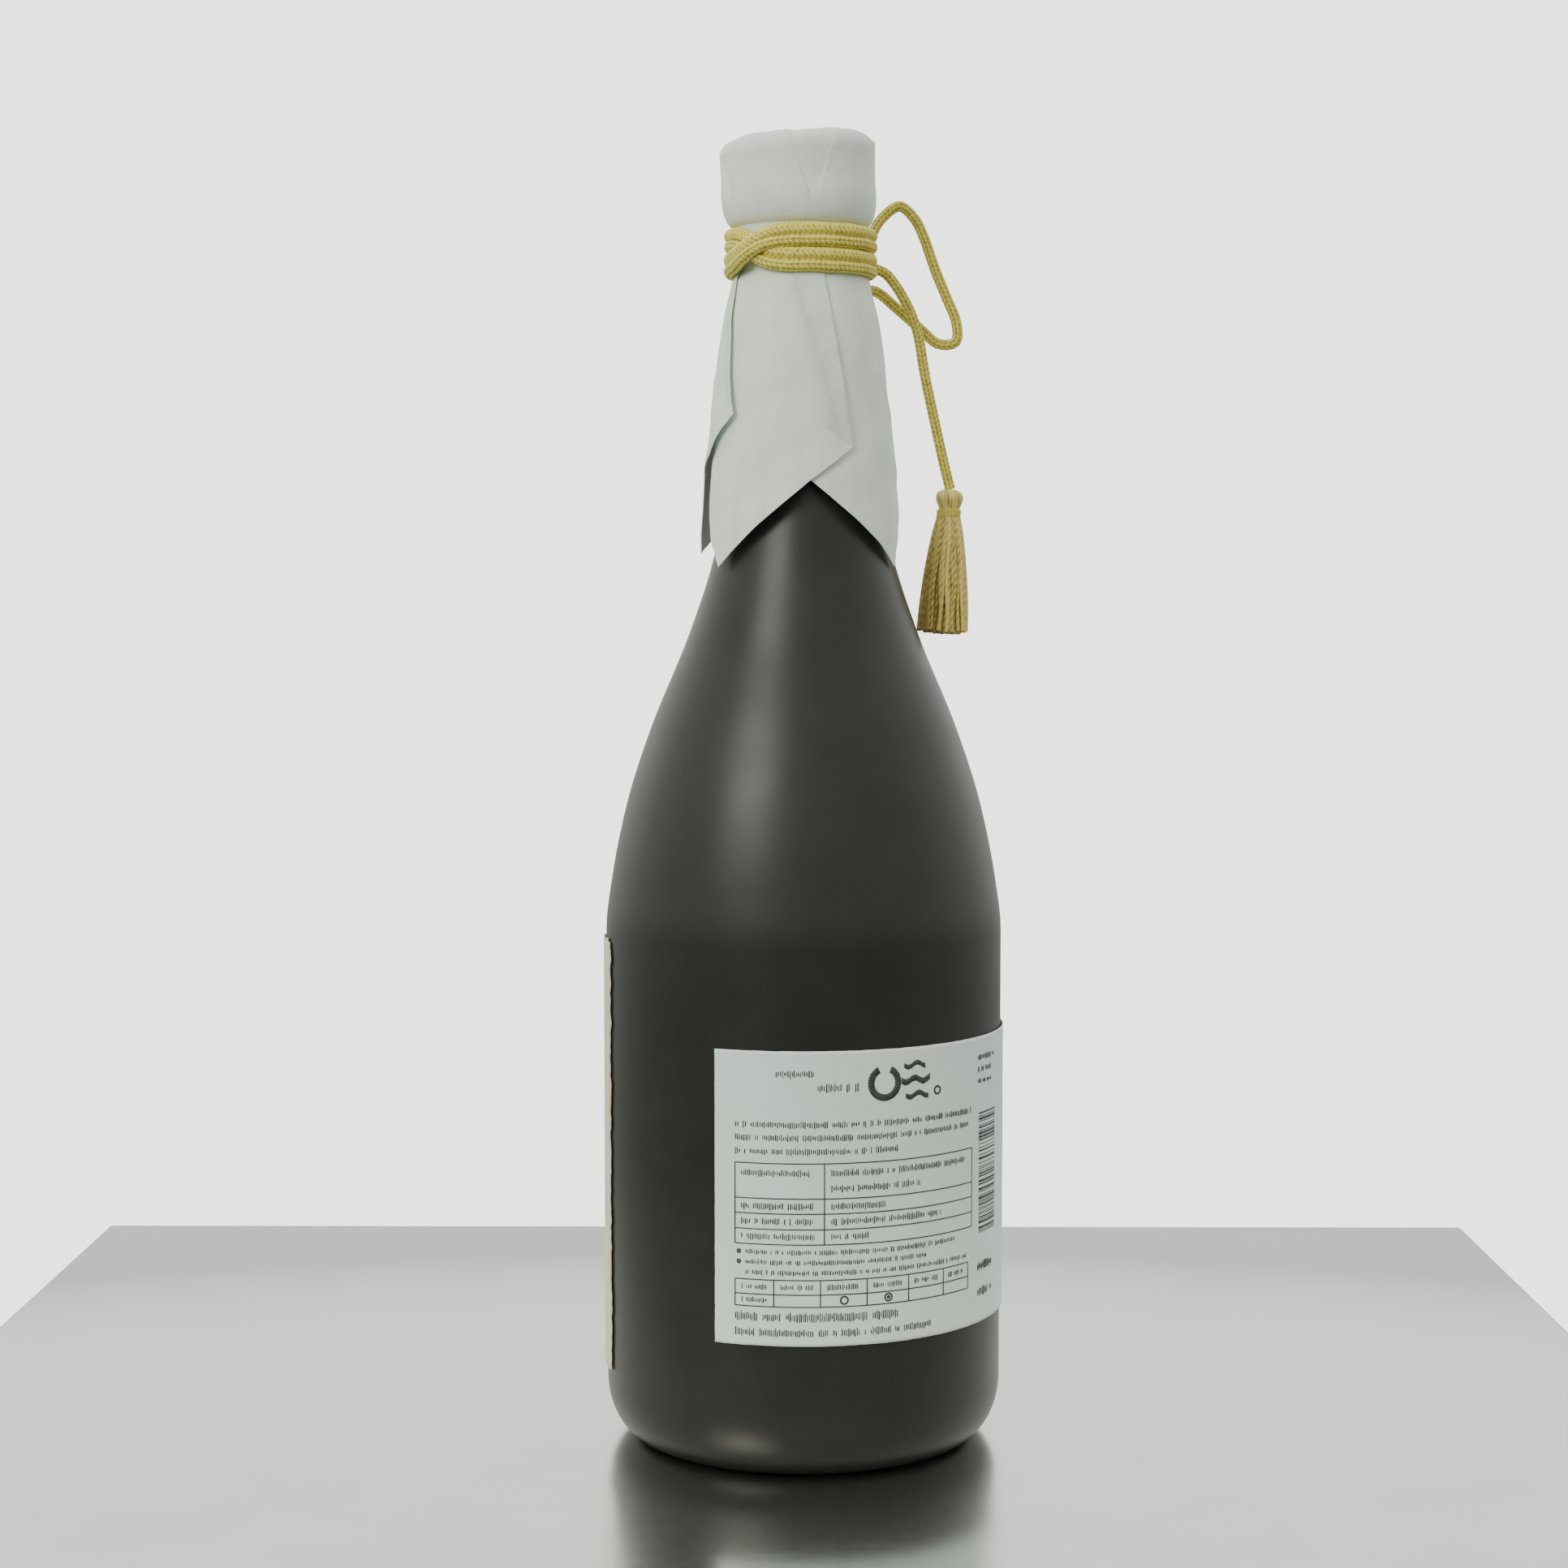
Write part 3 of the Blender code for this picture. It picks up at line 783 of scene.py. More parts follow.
def print_back_label(label: GluedLabel) -> None:
    """Lay out the back label: heading, lines of small print, two ruled tables and a column of stripes."""
    dice = random.Random(11)
    marks = InkMarks(label)
    right = 59.6
    left = 4.5
    # heading: two short rows, then an open ring and a stack of waves drawn with a brush
    marks.ticks(13.0, 21.0, 4.6, 1.7, dice)
    marks.ticks(21.5, 30.0, 7.5, 2.0, dice)
    marks.ring(35.6, 6.9, 3.7, 2.3, 50)
    wave_steps = 8
    for row, (start, stop, weight) in enumerate(((40.0, 45.2, 1.0), (39.4, 46.4, 1.3), (40.4, 46.0, 1.1))):
        middle = 3.6 + row * 3.1
        for step in range(wave_steps):
            a, b = (start + (stop - start) * at / wave_steps for at in (step, step + 1))
            ya, yb = (0.45 * math.sin((x - start) * 1.5) for x in (a, b))
            marks.patch([(a, middle + ya - weight / 2), (b, middle + yb - weight / 2),
                         (b, middle + yb + weight / 2), (a, middle + ya + weight / 2)])
    marks.ring(48.4, 9.4, 1.0, 0.55)

    for middle, stop in ((15.0, right), (17.7, right - 1.2), (20.5, 39.0)):
        marks.ticks(left, stop, middle, 1.55, dice)

    # table of contents: outer frame, three inner rules and one column rule
    thin = 0.12
    table_top, table_foot = 22.9, 39.5
    for v in (table_top, 30.1, 33.2, 36.4, table_foot):
        marks.bar(left, v - thin, right, v + thin)
    for u in (left, 22.9, right):
        marks.bar(u - thin, table_top, u + thin, table_foot)
    rows = ((24.9, 15.5, 57.5), (28.0, 0.0, 44.0), (31.7, 16.5, 36.0), (34.8, 16.5, 50.0), (37.9, 16.5, 33.0))
    for middle, first, second in rows:
        if first:
            marks.ticks(left + 1.3, left + first, middle, 1.6, dice)
        marks.ticks(24.3, second, middle, 1.6, dice)

    for middle, stop in ((41.1, 54.0), (43.2, 46.0), (45.3, 58.0)):
        marks.ticks(left + 2.2, stop, middle, 1.25, dice)
    for middle in (41.1, 43.2):
        marks.ring(left + 0.8, middle, 0.5, 0.1)

    # serving table: two rows, six columns, with two rings
    serving_top, serving_foot = 46.8, 52.3
    columns = (left, 12.6, 22.1, 31.8, 41.2, 50.3, 58.2)
    for v in (serving_top, 49.8, serving_foot):
        marks.bar(left, v - thin, columns[-1], v + thin)
    for u in columns:
        marks.bar(u - thin, serving_top, u + thin, serving_foot)
    for a, b in zip(columns, columns[1:]):
        marks.ticks(a + 1.4, b - 1.4, 48.3, 1.3, dice)
    marks.ticks(columns[0] + 1.4, columns[1] - 1.4, 51.0, 1.2, dice)
    for u, outer, inner in ((27.0, 0.95, 0.6), (36.5, 0.95, 0.6), (36.5, 0.4, 0.05)):
        marks.ring(u, 51.0, outer, inner)

    marks.ticks(left, 39.0, 54.5, 2.1, dice)
    marks.ticks(left, 47.0, 57.7, 1.9, dice)

    # right-hand column: small print round a block of stripes
    for stop, middle, height in ((70.5, 4.4, 1.4), (69.0, 6.9, 1.4), (69.0, 9.4, 1.2)):
        marks.ticks(62.0, stop, middle, height, dice)
    v = 16.0
    while v < 41.5:
        weight = dice.choice((0.18, 0.18, 0.36, 0.54))
        marks.bar(62.5, v, 71.0, v + weight)
        v += weight + dice.choice((0.2, 0.2, 0.4, 0.6))
    marks.ticks(62.0, 69.5, 48.6, 2.2, dice)
    marks.ticks(62.0, 69.5, 54.0, 2.2, dice)
    marks.build("back_label_print", Ink())


@dataclass(frozen=True)
class FoldStation:
    """One column of the hood's sheet: its azimuth on the rim, the drum's foot, the neck and the hem."""

    rim: float
    drum: float
    neck: float
    hem: float
    hem_height: float
    lift: float           # how far it stands off the innermost layer at the hem, in millimetres


@dataclass
class PaperHood:
    """One square of paper folded down over the stopper, with four pleats that open below the cord."""

    top: float = 0.2784
    cap_radius: float = 0.01655
    drum_foot: float = 0.2655
    neck_top: float = 0.2588
    rounding: float = 0.0036
    gathered: float = 0.80        # how far the tucks have closed at the foot of the drum
    least_reach: float = 0.01512  # the stopper's head inside the drum, the paper and a little air
    neck_bottom: float = 0.2492
    neck_radius: float = 0.01345
    paper: float = 0.00018
    step: float = 1.6             # degrees between columns
    flat: tuple[float, float] = (0.130, 0.130)
    layer_gap: float = 0.00013    # how much further out a layer lies on the neck for each unit of lift
    opening: float = 0.030        # below the neck, the drop over which the skirt comes to stand free
    swell_drop: float = 0.020     # and the drop over which its swell grows to the full
    tilt_from: float = 0.2500     # above this height the drum tips over to -X
    swells: tuple[tuple[str, float], ...] = (
        ("top", 0.00012), ("rim", 0.00018), ("drum", 0.00022), ("under", 0.0001), ("neck", 0.0),
        ("skirt", 0.00042),
    )

    front: tuple[FoldStation, ...] = (
        FoldStation(-50, -63.5, -84, -80, 228, 0.0), FoldStation(-46, -58, -76, -78, 212, 0.1),
        FoldStation(-42, -52, -70, -75, 197, 0.2), FoldStation(-32, -40, -52, -54.7, 187, 0.6),
        FoldStation(-12, 3, 4, 6, 205, 1.0), FoldStation(-7, 9.4, 19, 33, 212, 1.5),
    )
    right: tuple[FoldStation, ...] = (
        FoldStation(27, 12.6, -6, -14, 222, 0.0), FoldStation(33, 24, 12, 6, 205, 0.1),
        FoldStation(68, 66, 62, 70, 187, 0.8), FoldStation(74, 76, 74, 78, 196, 1.0),
        FoldStation(84, 98.5, 100, 115, 210, 1.5),
    )
    back: tuple[FoldStation, ...] = (
        FoldStation(116, 101.5, 82, 76, 222, 0.0), FoldStation(122, 112, 96, 96, 206, 0.1),
        FoldStation(158, 152, 150, 150, 187, 0.8), FoldStation(164, 168, 164, 165, 195, 1.0),
        FoldStation(172, 186.5, 190, 195, 212, 1.5),
    )
    left: tuple[FoldStation, ...] = (
        FoldStation(206, 189.5, 172, 158, 222, 0.0), FoldStation(212, 205, 190, 186, 204, 0.1),
        FoldStation(246, 250, 250, 252, 192, 0.8), FoldStation(258, 264, 262, 267, 190, 1.0),
        FoldStation(263, 272, 268, 272, 207, 1.2), FoldStation(277, 293.5, 292, 315, 219, 2.3),
    )

    def columns(self) -> list[tuple[FoldStation, float]]:
        """Every column round the sheet, with how deep it lies in a drum tuck from 0 to 1."""
        stations: list[tuple[FoldStation, bool]] = []
        for panel in (self.front, self.right, self.back, self.left):
            stations += [(station, number == len(panel) - 1) for number, station in enumerate(panel)]
        first = self.front[0]
        turned = (azimuth + 360 for azimuth in (first.rim, first.drum, first.neck, first.hem))
        closing = FoldStation(*turned, first.hem_height, first.lift)
        result = []
        for (a, is_fold), (b, _) in zip(stations, stations[1:] + [(closing, False)]):
            spread = max(abs(b.rim - a.rim), abs(b.neck - a.neck), abs(b.hem - a.hem))
            count = max(3, math.ceil(spread / self.step))
            for number in range(count):
                t = number / count
                mixed = FoldStation(*(getattr(a, key) + (getattr(b, key) - getattr(a, key)) * t
                                      for key in ("rim", "drum", "neck", "hem", "hem_height", "lift")))
                tuck = min(1.0, 8 * t) * (1.0 - 0.75 * t) if is_fold else 0.0
                result.append((mixed, tuck))
        return result

    def skirt_radius(self, height: float) -> float:
        """Outer radius of the hanging paper at a height in millimetres."""
        shape = [(187, 21.3), (195, 20.9), (205, 20.1), (215, 19.1), (228, 17.8), (240, 16.1), (249.2, 14.0)]
        return blend_between(shape, height) * MM

    def point(self, column: FoldStation, tuck: float, stage: str, share: float) -> Vector:
        """A point of one column.

        Args:
            column: The column's stations.
            tuck: How deep the column lies in a drum tuck.
            stage: The part of the hood: top, rim, drum, under, neck or skirt.
            share: How far down that part, from 0 to 1.

        Returns:
            The point.
        """
        edge = self.rounding
        rim_height = self.top - edge
        deep = 0.0006 * tuck
        if stage == "top":
            azimuth, height = column.rim, self.top - 0.0002 * share**2
            radius = (self.cap_radius - edge) * share
            height -= deep * max(0.0, share - 0.4)
        elif stage == "rim":
            angle = math.radians(90 * share)
            azimuth = column.rim
            radius = self.cap_radius - edge * (1 - math.sin(angle)) - deep
            height = rim_height + edge * math.cos(angle) - (0.0002 + 0.6 * deep) * (1 - share)
        elif stage == "drum":
            azimuth = column.rim + (column.drum - column.rim) * share * self.gathered
            height = rim_height + (self.drum_foot - rim_height) * share
            radius = self.cap_radius - deep - 0.00025 * math.sin(math.pi * share)
        elif stage == "under":
            azimuth = column.rim + (column.drum - column.rim) * (self.gathered + (1 - self.gathered) * share)
            angle = math.radians(90 * share)
            height = self.drum_foot + (self.neck_top - self.drum_foot) * math.sin(angle)
            radius = self.cap_radius + (self.neck_radius + 0.0004 - self.cap_radius) * (1 - math.cos(angle))
        elif stage == "neck":
            ease = share * share * (3 - 2 * share)
            azimuth = column.drum + (column.neck - column.drum) * ease
            height = self.neck_top + (self.neck_bottom - self.neck_top) * share
            radius = self.neck_radius + self.layer_gap * column.lift * ease
        else:
            azimuth = column.neck + (column.hem - column.neck) * share**0.85
            height = self.neck_bottom + (column.hem_height * MM - self.neck_bottom) * share
            open_share = min(1.0, (self.neck_bottom - height) / self.opening)
            stand = 0.13 + 0.87 * open_share
            radius = self.skirt_radius(height / MM) - 0.0007 * open_share + column.lift * stand * MM
            radius = max(radius, self.neck_radius + self.layer_gap * column.lift)
        # the same swell for every layer at a place, so that no layer reaches through the next
        turn = math.radians(azimuth)
        swell = noise.fractal(Vector((math.sin(turn) * 2.3, math.cos(turn) * 2.3, height * 110)), 0.9, 2.0, 3)
        amount = dict(self.swells)[stage]
        if stage == "skirt":
            amount *= min(1.0, (self.neck_bottom - height) / self.swell_drop)
        radius += amount * swell
        place = around(azimuth, radius, height)
        rise = max(0.0, (height - self.tilt_from) / (self.top - self.tilt_from))
        place.x -= 0.0006 + 0.0009 * rise
        if stage in ("top", "rim", "drum"):
            fade = 1 - share if stage == "drum" else 1.0
            place.z += (0.05 * place.x - 0.0002) * fade + amount * swell
        if stage == "drum" or (stage == "rim" and share > 0.6):
            reach = place.xy.length
            if reach < self.least_reach:
                place.xy *= self.least_reach / reach
        return place

    def build(self) -> None:
        rows: list[tuple[str, float]] = [("top", s) for s in (0.12, 0.3, 0.5, 0.7, 0.85, 0.95)]
        rows += [("rim", s) for s in (0.0, 0.25, 0.5, 0.75, 1.0)]
        for stage, steps in (("drum", 9), ("under", 5), ("neck", 6), ("skirt", 30)):
            rows += [(stage, (i + 1) / steps) for i in range(steps)]
        columns = self.columns()
        points = [self.point(column, tuck, stage, share) for stage, share in rows for column, tuck in columns]
        count = len(columns)
        centre = sum((points[i] for i in range(count)), Vector()) / count
        points.append(centre + Vector((0.0, 0.0, 0.00002)))
        faces: list[tuple[int, ...]] = [(len(points) - 1, i, (i + 1) % count) for i in range(count)]
        for row in range(len(rows) - 1):
            upper, lower = row * count, (row + 1) * count
            for i in range(count):
                after = (i + 1) % count
                faces.append((upper + i, lower + i, lower + after, upper + after))
        hood = piece_from_arrays("folded_paper_hood", np.array([tuple(p) for p in points]), faces)
        shell = hood.modifiers.new("paper", "SOLIDIFY")
        shell.thickness = self.paper
        shell.offset = -1.0
        apply_modifiers(hood)
        make_active(hood)
        bpy.ops.object.shade_smooth_by_angle(angle=math.radians(38))
        settle(hood, "closure", "washi", HOOD_FINISH.build(), "paper_hood")


@dataclass
class TiedCord:
    """One braided cord: two pairs of turns round the neck, a bow knot, two loops and two tails."""

    radius: float = 0.00115
    spacing: float = 0.00023
    turn_radius: float = 0.01490
    pressed_radius: float = 0.00141       # the turns are pulled tight and spread against each other
    lean: float = -0.00063
    knot_azimuth: float = 150.0
    knot_centre: tuple[float, float] = (0.0200, 0.2510)      # distance from the axis, height
    crossing: float = -42.0               # azimuth at which one pair of turns rises across the other

    near_loop: tuple[tuple[float, float, float], ...] = (
        (13.2, 15.2, 254.9), (15.1, 16.2, 260.0), (17.3, 17.2, 263.4), (20.9, 18.2, 265.9),
        (24.2, 18.8, 263.3), (26.3, 19.0, 259.2), (28.8, 19.0, 252.2), (31.2, 19.0, 246.4),
        (33.4, 19.0, 240.9), (33.3, 19.0, 236.6), (29.4, 19.0, 236.2), (25.4, 19.0, 239.5),
        (20.6, 18.4, 243.6), (16.4, 17.4, 247.0), (13.6, 16.6, 247.6),
    )
    far_loop: tuple[tuple[float, float, float], ...] = (
        (6.3, 19.8, 254.9), (4.4, 21.6, 259.4), (2.2, 23.6, 262.6), (-1.6, 26.8, 264.4),
        (-5.2, 29.8, 261.8), (-7.6, 31.8, 257.2), (-9.8, 33.6, 250.8), (-11.6, 34.8, 244.2),
        (-11.6, 34.4, 238.6), (-8.4, 31.8, 236.2), (-3.6, 28.2, 238.8), (0.6, 25.0, 242.6),
        (4.0, 22.4, 246.2), (6.2, 20.4, 247.6),
    )
    near_tail: tuple[tuple[float, float, float], ...] = (
        (15.3, 14.4, 252.0), (17.8, 14.5, 250.9), (20.1, 14.5, 248.2), (22.4, 14.5, 244.3),
        (24.0, 14.5, 240.6), (25.1, 14.5, 236.8), (26.3, 14.5, 229.6), (27.8, 14.5, 222.4),
        (29.3, 14.5, 215.6), (30.6, 14.5, 209.9), (32.0, 14.5, 204.2),
    )
    # In the upright plane through the knot: distance from the axis, height
    far_tail: tuple[tuple[float, float], ...] = (
        (20.6, 246.4), (20.9, 240.0), (21.2, 232.0), (21.8, 224.0), (22.6, 216.0), (23.9, 208.0),
        (24.7, 204.2),
    )

    def bundle(self) -> StrandBundle:
        """An empty bundle of this cord's braid."""
        return StrandBundle(braid_relief, 0.00013, 32)

    def turns(self) -> None:
        """Lay the four turns, with one pair rising across the other at the front left."""
        pairs = (
            ("lower_neck_turns", "lower_neck_wrap", (249.6, 251.95), (254.85, 257.15), 0.0),
            ("upper_neck_turns", "upper_neck_wrap", (254.85, 257.15), (249.6, 251.95), 1.9),
        )
        steps = 180
        for name, node, right_heights, left_heights, hump in pairs:
            bundle = self.bundle()
            for number, (right, left) in enumerate(zip(right_heights, left_heights)):
                route = []
                for step in range(steps + 1):
                    azimuth = self.knot_azimuth - 360 * step / steps
                    past = azimuth - self.crossing
                    crossed = 1 / (1 + math.exp((past - 4 * number) / 8.5))
                    height = right + (left - right) * crossed
                    over = hump * math.exp(-((past / 26) ** 2))
                    waver = 0.10 * noise.noise(Vector((azimuth * 0.06, number * 7.0, hump)))
                    place = around(azimuth, self.turn_radius + (over + waver) * MM, (height + waver) * MM)
                    place.x += self.lean
                    route.append(place)
                bundle.add(smooth_route(route, self.spacing), self.pressed_radius, number * 1.3)
            settle(bundle.build(name), "closure", "cord", CORD_FINISH.build(), node)

    def knot_point(self, along: float, out: float, up: float) -> Vector:
        """A point of the knot, in millimetres along the neck's turn, outwards and up."""
        angle = math.radians(self.knot_azimuth)
        outward = Vector((math.sin(angle), -math.cos(angle), 0.0))
        tangent = Vector((math.cos(angle), math.sin(angle), 0.0))
        centre = around(self.knot_azimuth, self.knot_centre[0], self.knot_centre[1])
        return centre + (tangent * along + outward * out + Vector((0.0, 0.0, up))) * MM

    def knot(self) -> None:
        """Tie the knot: two strands cross behind a turn that is wound over them twice."""
        bundle = self.bundle()
        strands = [
            [(-3.8, -0.2, 3.9), (-2.0, 0.2, 2.0), (0.6, 0.4, 0.2), (3.0, 0.6, -2.0), (4.8, 0.8, -3.4)],
            [(4.45, 0.3, 3.9), (2.4, -0.8, 2.2), (0.0, -1.4, 0.2), (-2.2, -0.4, -2.2), (-3.5, 1.2, -3.4)],
            [(0.0, -1.6, 0.6), (-2.6, -0.6, 0.8), (-4.6, 0.0, 1.0), (-5.95, 0.14, 1.0)],
            [(0.4, -1.0, -0.6), (0.2, 0.2, -2.6), (0.0, 0.6, -4.5)],
            # the cord comes out of the turns on both sides and runs into the knot
            [(-0.4, -1.6, 0.8), (-2.2, -2.5, 1.6), (-4.4, -3.4, 2.6), (-6.4, -4.9, 3.4), (-8.2, -7.2, 3.85)],
            [(0.4, -1.6, -0.8), (2.2, -2.5, -1.0), (4.4, -3.4, -1.2), (6.4, -4.9, -1.4), (8.2, -7.2, -1.4)],
        ]
        wound = []
        steps = 33
        for step in range(steps + 1):
            angle = math.radians(-150 + 720 * step / steps)
            wound.append((-1.25 + 2.5 * step / steps, 0.1 + 2.25 * math.cos(angle), 2.75 * math.sin(angle)))
        strands.append(wound)
        for strand in strands:
            route = [self.knot_point(*place) for place in strand]
            bundle.add(smooth_route(route, self.spacing), self.radius)
        settle(bundle.build("tied_bow_knot"), "closure", "cord", CORD_FINISH.build(), "bow_knot")

    def free_stretch(self, name: str, node: str, body: str, route: list[Vector]) -> None:
        """Lay one free stretch of the cord and attach it to its body.

        Args:
            name: The piece's name.
            node: The CAD node it stands for.
            body: The body it rides on.
            route: The route's own points.
        """
        path = smooth_route(route, self.spacing)
        bundle = self.bundle()
        bundle.add(path, self.radius)
        piece = bundle.build(name)
        settle(piece, body, "cord", CORD_FINISH.build(), node)

    def build(self, tassels: dict[str, "Tassel"]) -> None:
        """Make every stretch of the cord, with the tassels on its two ends."""
        self.turns()
        self.knot()
        for key, points in (("near", self.near_loop), ("far", self.far_loop)):
            loop = [Vector(point) * MM for point in points]
            self.free_stretch(f"{key}_loop_cord", f"{key}_bow_loop", "closure", loop)
        near_tail = [Vector(point) * MM for point in self.near_tail]
        far_tail = [around(self.knot_azimuth, reach * MM, height * MM) for reach, height in self.far_tail]
        for key, route in (("near", near_tail), ("far", far_tail)):
            pieces = tassels[key].build(key, route[-1])
            self.free_stretch(f"{key}_tail_cord", f"{key}_cord_tail", f"{key}_tail", route)


@dataclass
class Tassel:
    """A knob of the cord, a wound binding and a skirt of twisted strands cut straight across."""

    azimuth: float
    lean: float
    seed: int
    head_radius: float = 0.0030
    head_height: float = 0.0040
    binding_height: float = 0.0016
    binding_radius: float = 0.0027
    skirt_length: float = 0.0270
    skirt_radius: float = 0.0056
    gap: float = 0.0003
    strand_radius: float = 0.00043
    strand_steps: int = 8
    strand_spacing: float = 0.00042
    # The strands of each ring, and the ring's reach as a share of the skirt's radius
    rings: tuple[tuple[int, float], ...] = ((40, 1.0), (28, 0.74), (16, 0.46), (6, 0.18))

    def frame(self, top: Vector) -> Matrix:
        """The tassel's own frame: -Z down the hang, +Y outwards along its azimuth."""
        turn = Matrix.Rotation(math.radians(self.azimuth + 180), 4, "Z")
        tip = Matrix.Rotation(math.radians(-self.lean), 4, "X")
        return Matrix.Translation(top) @ turn @ tip

    def head(self, prefix: str, place: Matrix) -> Piece:
        """The knob that the cord is tied into."""
        bundle = StrandBundle(folded_relief, 0.00016, 88)
        shape = [(0.0, 0.38), (0.04, 0.56), (0.10, 0.76), (0.20, 0.92), (0.35, 1.0),
                 (0.52, 0.98), (0.70, 0.88), (0.85, 0.78), (1.0, 0.74)]
        path, radii = [], []
        rings = 26
        for ring in range(rings + 1):
            share = ring / rings
            path.append(place @ Vector((0.0, 0.0, -(self.head_height + 2 * self.gap) * share)))
            radii.append(self.head_radius * blend_between(shape, share))
        bundle.add(path, radii)
        piece = bundle.build(f"{prefix}_tassel_knob")
        settle(piece, f"{prefix}_tassel", "cord", FLOSS_FINISH.build(), f"{prefix}_tassel_head")
        return piece

    def binding(self, prefix: str, place: Matrix) -> Piece:
        """Turns of bright thread wound round the top of the skirt."""
        bundle = StrandBundle(twist_relief, 0.00004, 8)
        thread = 0.00019
        turns = 5
        reach = self.binding_radius - thread
        top = -self.gap - self.head_height - thread
        path = []
        per_turn = 32
        for step in range(turns * per_turn + 1):
            angle = FULL_TURN * step / per_turn
            drop = (self.binding_height - thread) * step / (turns * per_turn)
            path.append(place @ Vector((reach * math.cos(angle), reach * math.sin(angle), top - drop)))
        bundle.add(path, thread)
        piece = bundle.build(f"{prefix}_tassel_wound_binding")
        settle(piece, f"{prefix}_tassel", "yellow_thread", BINDING_FINISH.build(), f"{prefix}_tassel_binding")
        return piece

    def skirt(self, prefix: str, place: Matrix) -> Piece:
        """Rings of twisted strands, one inside another, that flare towards the cut."""
        dice = random.Random(self.seed)
        bundle = StrandBundle(twist_relief, 0.00006, 8)
        top = self.gap + self.head_height + 0.0002
        for strands, reach in self.rings:
            for number in range(strands):
                angle = FULL_TURN * (number + dice.uniform(-0.25, 0.25)) / strands
                bottom = reach * (self.skirt_radius - self.strand_radius) * dice.uniform(0.93, 1.03)
                throat = max(0.0004, reach * 0.0020)
                length = self.skirt_length * (1.0 - 0.018 * reach**4) + dice.uniform(-0.0002, 0.0002)
                drift = dice.uniform(-0.10, 0.10)
                route = []
                for step in range(self.strand_steps + 1):
                    share = step / self.strand_steps
                    flare = 1 - (1 - share) ** 2.1
                    radius = throat + (bottom - throat) * (0.25 * share + 0.75 * flare)
                    at = angle + drift * share + 0.05 * math.sin(share * 9 + number)
                    spot = Vector((radius * math.cos(at), radius * math.sin(at), -top - length * share))
                    route.append(place @ spot)
                path = smooth_route(route, self.strand_spacing)
                count = len(path)
                size = [self.strand_radius * (0.62 + 0.38 * min(1.0, 5 * i / count)) for i in range(count)]
                bundle.add(path, size, dice.uniform(0, 6), dice.uniform(-0.32, 0.22))
        piece = bundle.build(f"{prefix}_tassel_floss")
        settle(piece, f"{prefix}_tassel", "tassel_floss", FLOSS_FINISH.build(), f"{prefix}_tassel_skirt")
        return piece

    def build(self, prefix: str, cord_end: Vector) -> list[Piece]:
        """Make the tassel at the cord's end and return its pieces."""
        place = self.frame(cord_end)
        return [self.head(prefix, place), self.binding(prefix, place), self.skirt(prefix, place)]


@dataclass
class Stopper:
    """The plug and its snapped-on head keep their modelled shapes and get their plastics."""

    def build(self) -> None:
        """Dress the two mouldings."""
        finishes = {
            "stopper_plug": Moulded("natural_polyethylene", "#d9d9d2", "#e4e4de", 0.42),
            "stopper_head": Moulded("black_polypropylene", "#17181a", "#202124", 0.3),
        }
        for node, finish in finishes.items():
            dress(bpy.data.objects[node], finish.build())
            LOG.info("%s dressed", node)


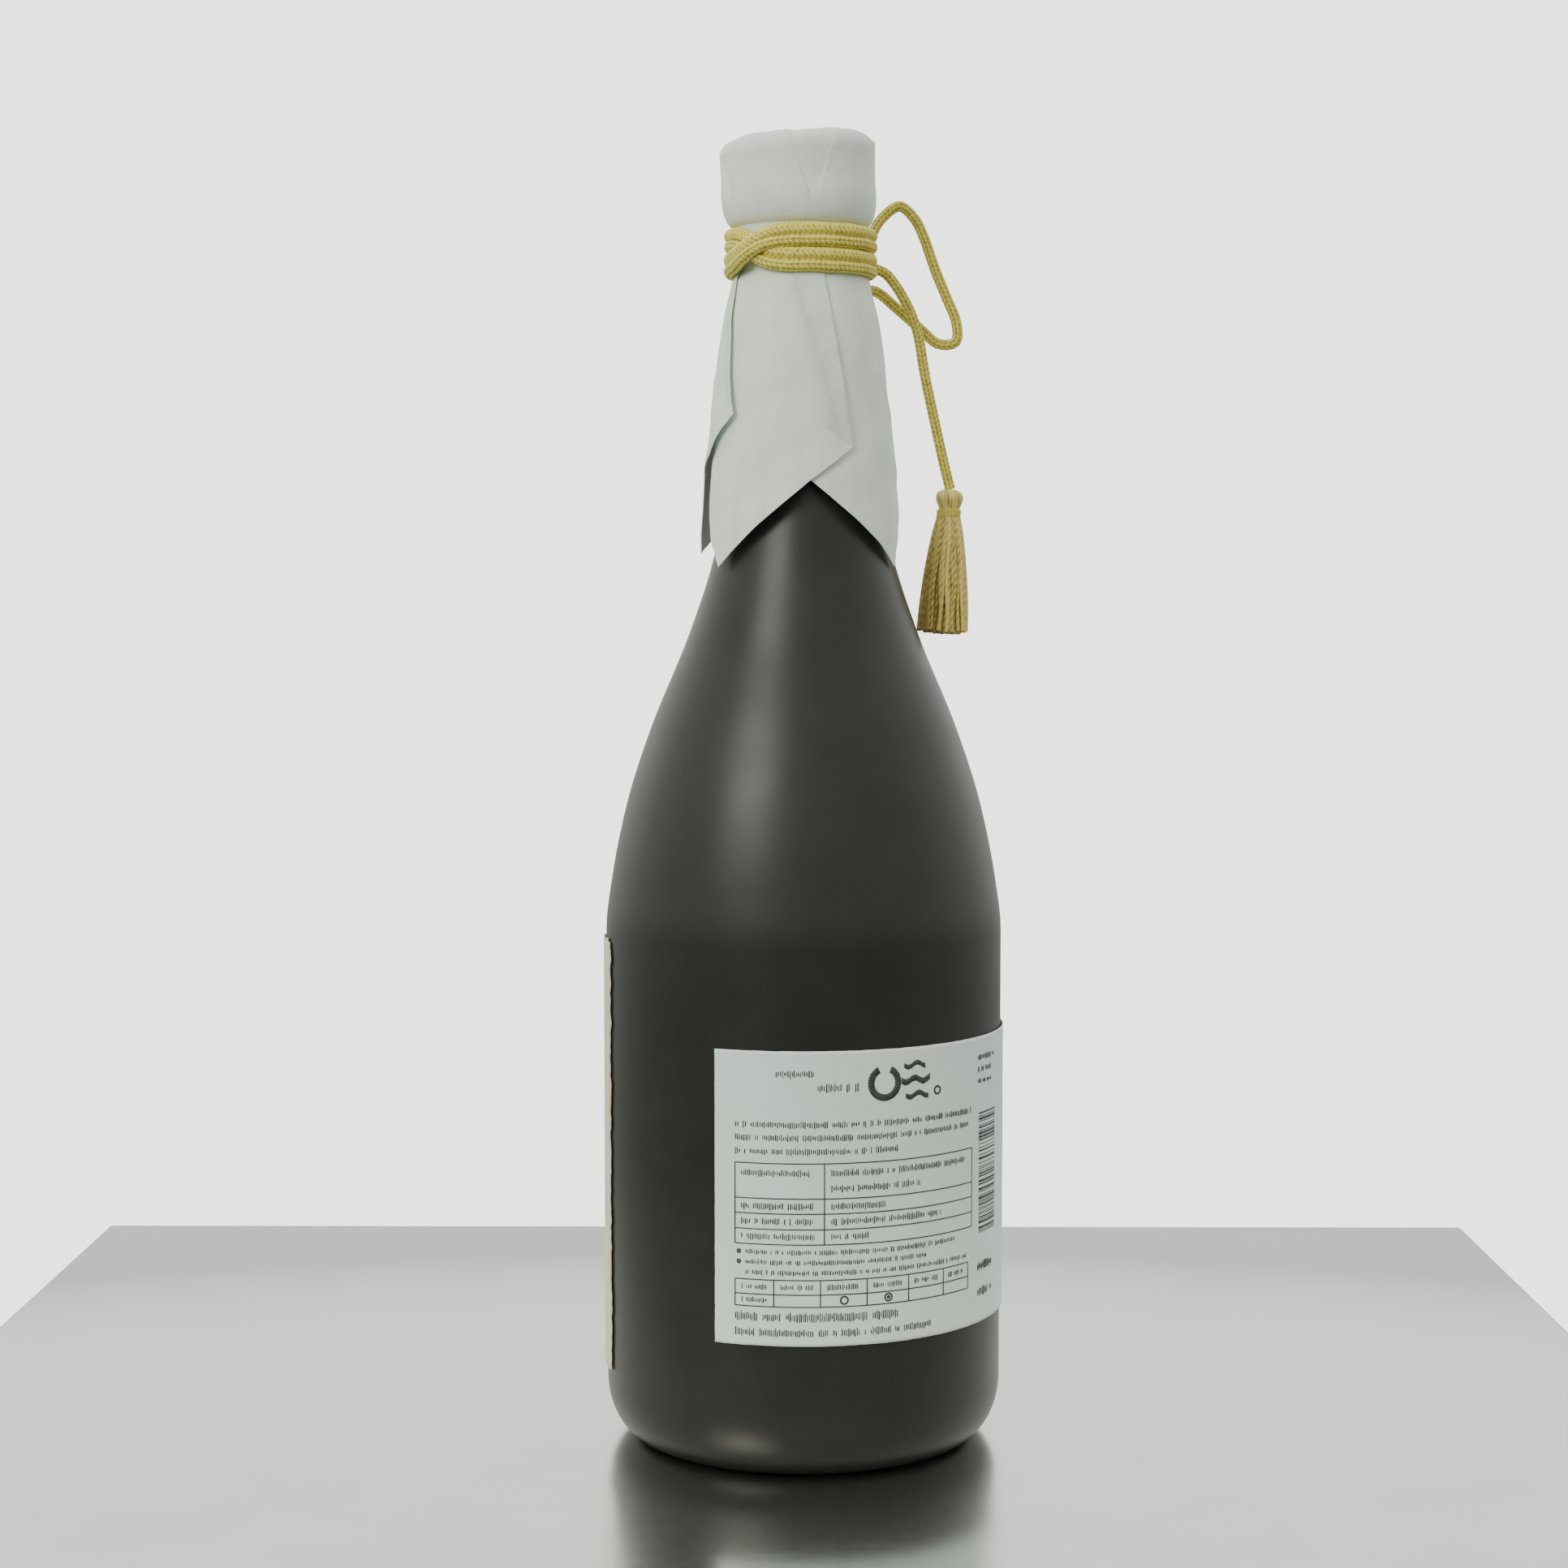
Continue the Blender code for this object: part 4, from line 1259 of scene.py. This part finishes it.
@dataclass
class Studio:
    """A pale slab, a white surround, one large soft light and the camera."""

    slab: tuple[float, float, float, float] = (-0.200, 0.189, -0.13, 0.203)
    slab_depth: float = 0.020
    eye: tuple[float, float, float] = (0.0, -0.6283, 0.1819)
    pitch: float = 3.763
    yaw: float = 0.384
    view: float = 30.0

    def floor(self) -> None:
        """A slab with eased edges under the bottle."""
        left, right, front, back = self.slab
        select_none()
        middle = ((left + right) / 2, (front + back) / 2, -self.slab_depth / 2)
        bpy.ops.mesh.primitive_cube_add(size=1.0, location=middle)
        slab = bpy.context.object
        slab.name = "table_slab"
        slab.scale = (right - left, back - front, self.slab_depth)
        bpy.ops.object.transform_apply(location=True, rotation=False, scale=True)
        ease = slab.modifiers.new("eased_edges", "BEVEL")
        ease.width = 0.0015
        ease.segments = 3
        apply_modifiers(slab)
        bpy.ops.object.shade_smooth_by_angle(angle=math.radians(35))
        dress(slab, TableTop().build())

    def light(self, name: str, azimuth: float, elevation: float,
              distance: float, size: float, power: float) -> None:
        """Hang one square area light that faces the bottle's shoulder.

        Args:
            name: The light's name.
            azimuth: Degrees from -Y towards +X.
            elevation: Degrees above the horizon.
            distance: From the bottle's shoulder.
            size: The side of its square.
            power: In watts.
        """
        target = Vector((0.0, 0.0, 0.14))
        reach = distance * math.cos(math.radians(elevation))
        place = target + around(azimuth, reach, distance * math.sin(math.radians(elevation)))
        facing = (place - target).to_track_quat("Z", "Y").to_euler()
        select_none()
        bpy.ops.object.light_add(type="AREA", location=place, rotation=facing)
        lamp = bpy.context.object
        lamp.name = name
        lamp.data.shape = "SQUARE"
        lamp.data.size = size
        lamp.data.energy = power
        lamp.data.color = linear("#fffdf2")[:3]

    def surround(self) -> None:
        """A white world, a little darker below the horizon."""
        world = bpy.data.worlds.new("white_surround")
        bpy.context.scene.world = world
        world.use_nodes = True
        tree = world.node_tree
        lighting = tree.nodes["Background"]
        direction = add_node(tree, "TexCoord").outputs["Generated"]
        parts = add_node(tree, "SeparateXYZ", {"Vector": direction})
        # bright wall behind, dimmer room in front, dark floor
        depth = remap(tree, parts.outputs["Y"], -0.5, 0.6, 0.0, 1.0)
        height = remap(tree, parts.outputs["Z"], -0.25, 0.15, 0.12, 1.0)
        shade = ramp(tree, depth, [(0.0, "#c8cac3"), (0.5, "#e2e4de"), (1.0, "#f8f9f4")])
        tree.links.new(shade, lighting.inputs["Color"])
        strength = add_node(tree, "Math", {0: height, 1: 1.65}, operation="MULTIPLY").outputs[0]
        tree.links.new(strength, lighting.inputs["Strength"])
        # seen directly, the surround is one even white
        backdrop = add_node(tree, "Background", {"Color": linear("#f4f4f2"), "Strength": 3.1})
        seen = add_node(tree, "LightPath").outputs["Is Camera Ray"]
        mixed = add_node(tree, "MixShader", {0: seen, 1: lighting.outputs[0], 2: backdrop.outputs[0]})
        tree.links.new(mixed.outputs[0], tree.nodes["World Output"].inputs["Surface"])

    def camera(self) -> None:
        """The camera, looking slightly down and to the left of the bottle's axis."""
        select_none()
        aim = (math.radians(90 - self.pitch), 0.0, math.radians(self.yaw))
        bpy.ops.object.camera_add(location=self.eye, rotation=aim)
        eye = bpy.context.object
        eye.name = "studio_camera"
        eye.data.sensor_fit = "HORIZONTAL"
        eye.data.angle = math.radians(self.view)
        eye.data.clip_start = 0.01
        bpy.context.scene.camera = eye

    def build(self) -> None:
        """Set the stage."""
        self.camera()
        self.surround()
        self.floor()
        self.light("window_light", -37, 30, 0.9, 0.38, 4.4)


def main() -> None:
    """Build the stage and every piece of the bottle."""
    logging.basicConfig(level=logging.INFO, format="%(name)s %(message)s")
    Studio().build()
    tassels = {
        "near": Tassel(azimuth=90.0, lean=3.0, seed=5),
        "far": Tassel(azimuth=150.0, lean=12.5, seed=8),
    }
    TiedCord().build(tassels)
    Bottle().build()
    back = GluedLabel("printed_back_label", "back_label", bottom=0.0289, top=0.0893,
                      start=-24.8, end=97.0, edge=Edge.CUT)
    back.build(LabelPaper().build(), "back_label_paper")
    print_back_label(back)
    front = GluedLabel("torn_front_label", "front_label", bottom=0.0160, top=0.1080,
                       start=151.6, end=287.5, edge=Edge.TORN, seed=9)
    front.build(FRONT_FINISH.build(), "front_label_washi")
    Stopper().build()
    PaperHood().build()


if __name__ == "__main__":
    main()
